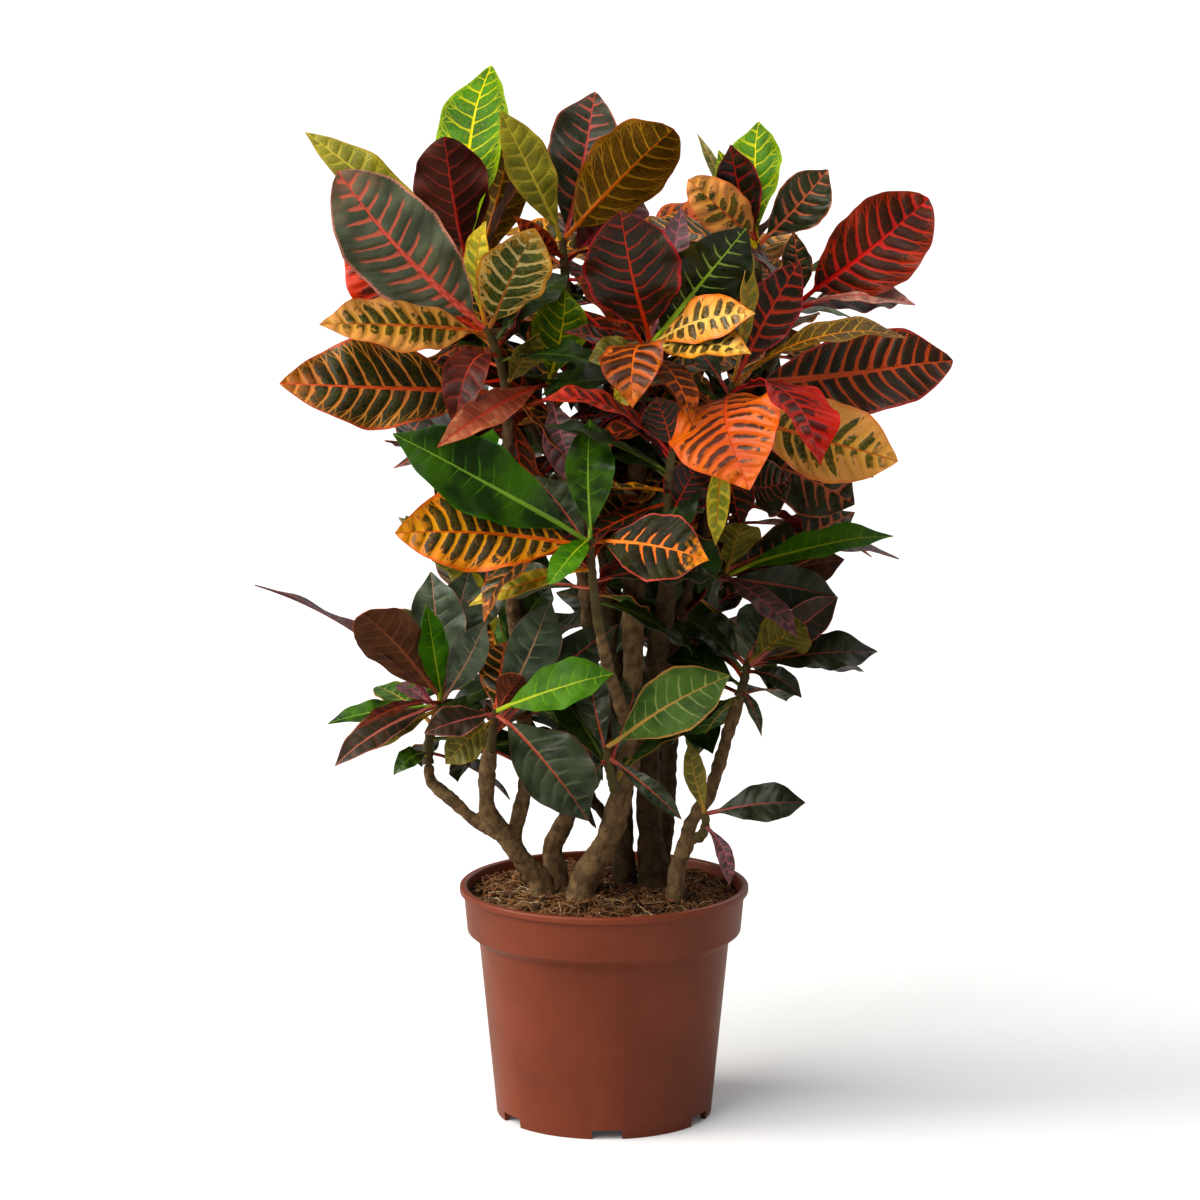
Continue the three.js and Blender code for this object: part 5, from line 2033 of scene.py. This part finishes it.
def lathe(name: str, rings: list[tuple[float, float]], segments: int) -> Object:
    """Draws a closed round body up from its first ring, ring by ring.

    Args:
        name: The body's name.
        rings: The radius and height of each ring. The first and the last are closed.
        segments: How many sides it has.

    Returns:
        The body.
    """
    radius, height = rings[0]
    body = primitive(bpy.ops.mesh.primitive_circle_add, vertices=segments, radius=radius,
                     fill_type="NGON", location=(0, 0, height))
    bpy.ops.object.transform_apply(location=True, rotation=False, scale=False)
    bpy.ops.object.mode_set(mode="EDIT")
    bpy.ops.mesh.select_all(action="SELECT")
    for next_radius, next_height in rings[1:]:
        bpy.ops.mesh.extrude_region_move(
            TRANSFORM_OT_translate={"value": (0, 0, next_height - height)})
        scale = next_radius / radius
        bpy.ops.transform.resize(value=(scale, scale, 1), center_override=(0, 0, next_height))
        radius, height = next_radius, next_height
    bpy.ops.mesh.select_all(action="SELECT")
    bpy.ops.mesh.normals_make_consistent(inside=False)
    bpy.ops.object.mode_set(mode="OBJECT")
    body.name = body.data.name = name
    return body


@dataclass(frozen=True)
class LooseKind:
    """One kind of loose thing on the soil.

    Args:
        name: The name of the piece that they make up.
        stuff: What they are made of.
        count: How many there are.
        size: The length of the longest strand, or the radius of the largest lump.
        radius: The radius of the thickest strand, or of the smallest lump.
    """

    name: str
    stuff: Stuff
    count: int
    size: float
    radius: float


@dataclass
class Soil:
    """The peat in the pot, mounded and crumbly, with what lies loose on it."""

    pot: NurseryPot
    edge_height: float = 161 * MM
    mound: float = 7 * MM
    bump: float = 1.6 * MM
    edge: float = 98.9 * MM
    gap: float = 0.3 * MM
    segments: int = 260
    rings: int = 76
    centre: float = 1.2 * MM

    bump_width: int = 7
    bump_depth: int = 6
    bump_shift: float = 1.3
    ridges: float = 0.6
    ridge_width: float = 3.1
    ridge_depth: float = 4.3
    CRUMBS = ((1.6, 150.0), (1.5, 330.0), (1.1, 800.0))
    clods: float = 3.0
    clod_scale: float = 120.0
    clod_level: float = 0.45
    near_top: float = 0.01 * MM
    seed: int = 21
    STRANDS = rows_of(LooseKind, ("coir_fibres", Stuff.COIR, 1000, 26 * MM, 0.62 * MM),
                      ("rootlets", Stuff.ROOTLET, 130, 38 * MM, 0.42 * MM))
    LUMPS = rows_of(LooseKind, ("bark_chips", Stuff.CHIP, 560, 3.2 * MM, 0.9 * MM),
                    ("husk_shards", Stuff.HUSK, 240, 2.6 * MM, 1.0 * MM),
                    ("white_grains", Stuff.PERLITE, 18, 1.3 * MM, 0.6 * MM))
    strand_reach: float = 0.97
    strand_steps: int = 5
    strand_edge: float = 1.5 * MM
    lengths: tuple[float, float] = (0.35, 1.0)
    widths: tuple[float, float] = (0.45, 1.0)
    bends: tuple[float, float] = (-0.5, 0.5)
    kinks: tuple[float, float] = (-0.25, 0.25)
    rises: tuple[float, float] = (0.0, 3.4)
    strand_taper: float = 0.6
    lump_reach: float = 0.96
    lump_uneven: float = 0.45
    lump_scale: float = 2.0
    lump_turn: float = 6.28
    lump_lengths: tuple[float, float] = (0.8, 3.0)
    lump_flatness: float = 0.7
    lump_lift: float = 0.3

    def level(self, x: float, y: float) -> float:
        """Works out the height of the soil at a place.

        Args:
            x: How far right it is.
            y: How far back it is.

        Returns:
            The height.
        """
        share = math.hypot(x, y) / self.edge
        u, v = x / MM, y / MM
        bumps = math.sin(u / self.bump_width + self.bump_shift) * math.cos(v / self.bump_depth)
        bumps += self.ridges * math.sin(u / self.ridge_width - v / self.ridge_depth)
        place = Vector((x, y, 0.0))
        fine = sum(size * noise.noise(place * scale) for size, scale in self.CRUMBS)
        clod = noise.voronoi(place * self.clod_scale)[0][0]
        fine += self.clods * (self.clod_level - clod)
        return (self.edge_height + self.mound * (1 - share * share) + self.bump * bumps
                + fine * MM)

    def build(self, palette: Palette) -> None:
        """Builds the soil and its loose bits and ties them to the part.

        Args:
            palette: The materials.
        """
        wall = [(r - self.gap, z) for r, z in self.pot.inside()[:3]]
        wall[0] = (wall[0][0], wall[0][1] + self.gap)
        inward = [(self.edge + (self.centre - self.edge) * i / self.rings, self.edge_height)
                  for i in range(self.rings + 1)]
        body = lathe("peat_fill", [*wall, *inward], self.segments)
        for vertex in body.data.vertices:
            if vertex.co.z > self.edge_height - self.near_top:
                vertex.co.z = self.level(vertex.co.x, vertex.co.y)
        clothe(body, palette.stuff[Stuff.PEAT])
        soften(body)
        declare(body, "soil")
        draws = random.Random(self.seed)
        loose = [fine_tube(kind.name, self.strands(kind, draws), 0, palette.stuff[kind.stuff])
                 for kind in self.STRANDS]
        loose += [self.lumps(kind, draws, palette.stuff[kind.stuff]) for kind in self.LUMPS]
        for piece in loose:
            declare(piece)

    def spot(self, draws: random.Random, reach: float) -> tuple[float, float]:
        """Draws a place on the soil, within a share of its radius.

        Args:
            draws: Where it is drawn from.
            reach: The share of the radius that it stays within.

        Returns:
            The place, as x and y.
        """
        radius = self.edge * math.sqrt(draws.random()) * reach
        around = draws.uniform(0, FULL_TURN)
        return radius * math.cos(around), radius * math.sin(around)

    def strands(self, kind: LooseKind, draws: random.Random) -> list[Path]:
        """Lays thin curved strands on the soil.

        Args:
            kind: What they are like.
            draws: Where they are drawn from.

        Returns:
            Their paths.
        """
        paths = []
        for _ in range(kind.count):
            x, y = self.spot(draws, self.strand_reach)
            heading = draws.uniform(0, FULL_TURN)
            length = kind.size * draws.uniform(*self.lengths)
            thick = kind.radius * draws.uniform(*self.widths)
            bend = draws.uniform(*self.bends)
            rise = draws.uniform(*self.rises) * MM
            path = []
            for k in range(self.strand_steps + 1):
                share = k / self.strand_steps
                if math.hypot(x, y) > self.edge - self.strand_edge:
                    break
                lift = self.level(x, y) + thick + rise * math.sin(math.pi * share)
                path.append((Vector((x, y, lift)), thick * (1.0 - self.strand_taper * share)))
                heading += bend + draws.uniform(*self.kinks)
                x += length / self.strand_steps * math.cos(heading)
                y += length / self.strand_steps * math.sin(heading)
            if len(path) > 2:
                paths.append(path)
        return paths

    def lumps(self, kind: LooseKind, draws: random.Random,
              material: Material) -> Object:
        """Scatters small uneven lumps, each a turned and stretched copy of one.

        Args:
            kind: What they are like.
            draws: Where they are drawn from.
            material: What they are made of.

        Returns:
            The lumps as one object.
        """
        seed = primitive(bpy.ops.mesh.primitive_ico_sphere_add, subdivisions=1, radius=1)
        for vertex in seed.data.vertices:
            vertex.co *= 1.0 + self.lump_uneven * noise.noise(vertex.co * self.lump_scale)
        lumps = []
        for _ in range(kind.count):
            x, y = self.spot(draws, self.lump_reach)
            size = kind.radius + (kind.size - kind.radius) * draws.random() ** 2
            turn = Matrix.Rotation(draws.uniform(0, self.lump_turn), 4, "Z") @ Matrix.Rotation(
                draws.uniform(0, self.lump_turn), 4, "X")
            stretch = Matrix.Diagonal((size * draws.uniform(*self.lump_lengths), size,
                                       size * self.lump_flatness, 1))
            place = Matrix.Translation((x, y, self.level(x, y) + self.lump_lift * size))
            mesh = seed.data.copy()
            mesh.transform(place @ turn @ stretch)
            lumps.append(add_object(kind.name, mesh))
        bpy.data.objects.remove(seed)
        whole = join(lumps, kind.name)
        clothe(whole, material)
        return whole


@dataclass(frozen=True)
class Sun:
    """A far soft light.

    Args:
        name: Its name.
        around: Where it comes from, in degrees from the viewer's side to the right.
        above: Its height, in degrees.
        spread: How wide it looks from the plant, in degrees.
        strength: Its strength in watts a square metre.
        colour: Its colour.
    """

    name: str
    around: float
    above: float
    spread: float
    strength: float
    colour: Point

    def build(self) -> None:
        """Adds the light, turned to the plant."""
        data = bpy.data.lights.new(self.name, "SUN")
        data.energy = self.strength
        data.angle = math.radians(self.spread)
        data.color = self.colour
        turn, rise = math.radians(self.around), math.radians(self.above)
        source = Vector((math.sin(turn) * math.cos(rise), -math.cos(turn) * math.cos(rise),
                         math.sin(rise)))
        add_object(self.name, data).rotation_euler = (-source).to_track_quat(
            "-Z", "Y").to_euler()


@dataclass
class Studio:
    """The pale floor, the soft lights, the surround and the camera of the photograph."""

    eye: Point = (-0.003, -3.36, 0.99)
    pitch: float = 10.3
    lens: float = 142.35
    sensor: float = 36.0
    farthest: float = 200.0
    floor_size: float = 400.0
    glow: float = 0.04
    dimness: float = 0.17

    SUNS = (Sun("key_light", -85.0, 31.0, 36.0, 3.0, (1.0, 0.93, 0.82)),
            Sun("front_light", -42.0, 40.0, 44.0, 1.95, (1.0, 0.95, 0.87)),
            Sun("top_light", -30.0, 80.0, 60.0, 0.8, (1.0, 0.97, 0.92)),
            Sun("back_light", 150.0, 38.0, 60.0, 0.6, (1.0, 0.97, 0.93)))
    WHITE = (1.0, 1.0, 1.0, 1.0)
    BOUNCE = (0.55, 0.53, 0.5, 1.0)
    PALENESS = (0.88, 0.92, 0.99, 1.0)
    SURROUND = (1.0, 0.95, 0.88, 1.0)

    def build(self) -> None:
        """Builds the floor, the lights, the surround and the camera."""
        self.floor()
        for sun in self.SUNS:
            sun.build()
        self.world()
        self.camera()

    def floor(self) -> None:
        """Builds the floor, paler to the eye than as a source of bounced light."""
        floor = primitive(bpy.ops.mesh.primitive_plane_add, size=self.floor_size,
                          location=(0, 0, 0))
        floor.name = "floor"
        material, n, shader = new_material("pale_floor", 0.9, 0.1)
        seen = n.add("ShaderNodeLightPath").outputs["Is Camera Ray"]
        n.feed(shader, {"Emission Color": self.WHITE,
                        "Emission Strength": n.times(seen, self.glow),
                        "Base Color": n.mix(seen, self.BOUNCE, self.PALENESS)})
        clothe(floor, material)

    def world(self) -> None:
        """Sets an even pale surround, dim as a light and white to the eye."""
        world = bpy.data.worlds.new("surround")
        world.use_nodes = True
        n, back = Nodes(world.node_tree), world.node_tree.nodes["Background"]
        seen = n.add("ShaderNodeLightPath").outputs["Is Camera Ray"]
        n.feed(back, {"Color": self.SURROUND, "Strength": n.plus(seen, self.dimness)})
        bpy.context.scene.world = world
        bpy.context.scene.view_settings.view_transform = "Standard"

    def camera(self) -> None:
        """Adds the camera at the photograph's viewing angle."""
        data = bpy.data.cameras.new("photo_camera")
        data.lens = self.lens
        data.sensor_width = self.sensor
        data.clip_end = self.farthest
        camera = add_object("photo_camera", data)
        camera.location = self.eye
        camera.rotation_euler = (math.radians(90 - self.pitch), 0.0, 0.0)
        bpy.context.scene.camera = camera


class Croton:
    """The plant: its woody stems and its leafy shoots."""

    FINE = (46, 16)
    PLAIN = (30, 10)

    def __init__(self, palette: Palette) -> None:
        """Args: palette, the materials."""
        self.palette = palette
        self.seats = {row.name: metres(row.seat) for row in (*FRONT_SHOOTS, *BACK_SHOOTS)}

    def build(self) -> None:
        """Builds all stems, then all shoots."""
        directions: dict[str, Vector] = {}
        for row in STEMS:
            stem = Stem(row.name, row.branches, self.seats)
            stem.build(self.palette)
            for branch in row.branches:
                directions[branch.carries] = stem.line(branch).end_direction()
        blanks = {True: blank_slab(*self.FINE), False: blank_slab(*self.PLAIN)}
        back, inner = BackRule(), InnerRule()
        shoots = [(row, row.leaves, False) for row in FRONT_SHOOTS]
        shoots += [(row, back.leaves(row), True) for row in BACK_SHOOTS]
        for row, leaves, behind in shoots:
            grown = (*leaves, *inner.leaves(row.name, row.crown))
            shoot = Shoot(f"shoot_{row.name}", self.seats[row.name], metres(row.crown), grown,
                          directions[row.name], behind)
            shoot.build(blanks, self.palette, f"leaf_{row.slot}")


def main() -> None:
    """Builds every piece in order."""
    logging.basicConfig(level=logging.INFO, format="%(message)s")
    deselect()
    palette = Palette()
    pot = NurseryPot()
    pot.build(palette)
    Soil(pot).build(palette)
    Croton(palette).build()
    Studio().build()
    deselect()


if __name__ == "__main__":
    main()
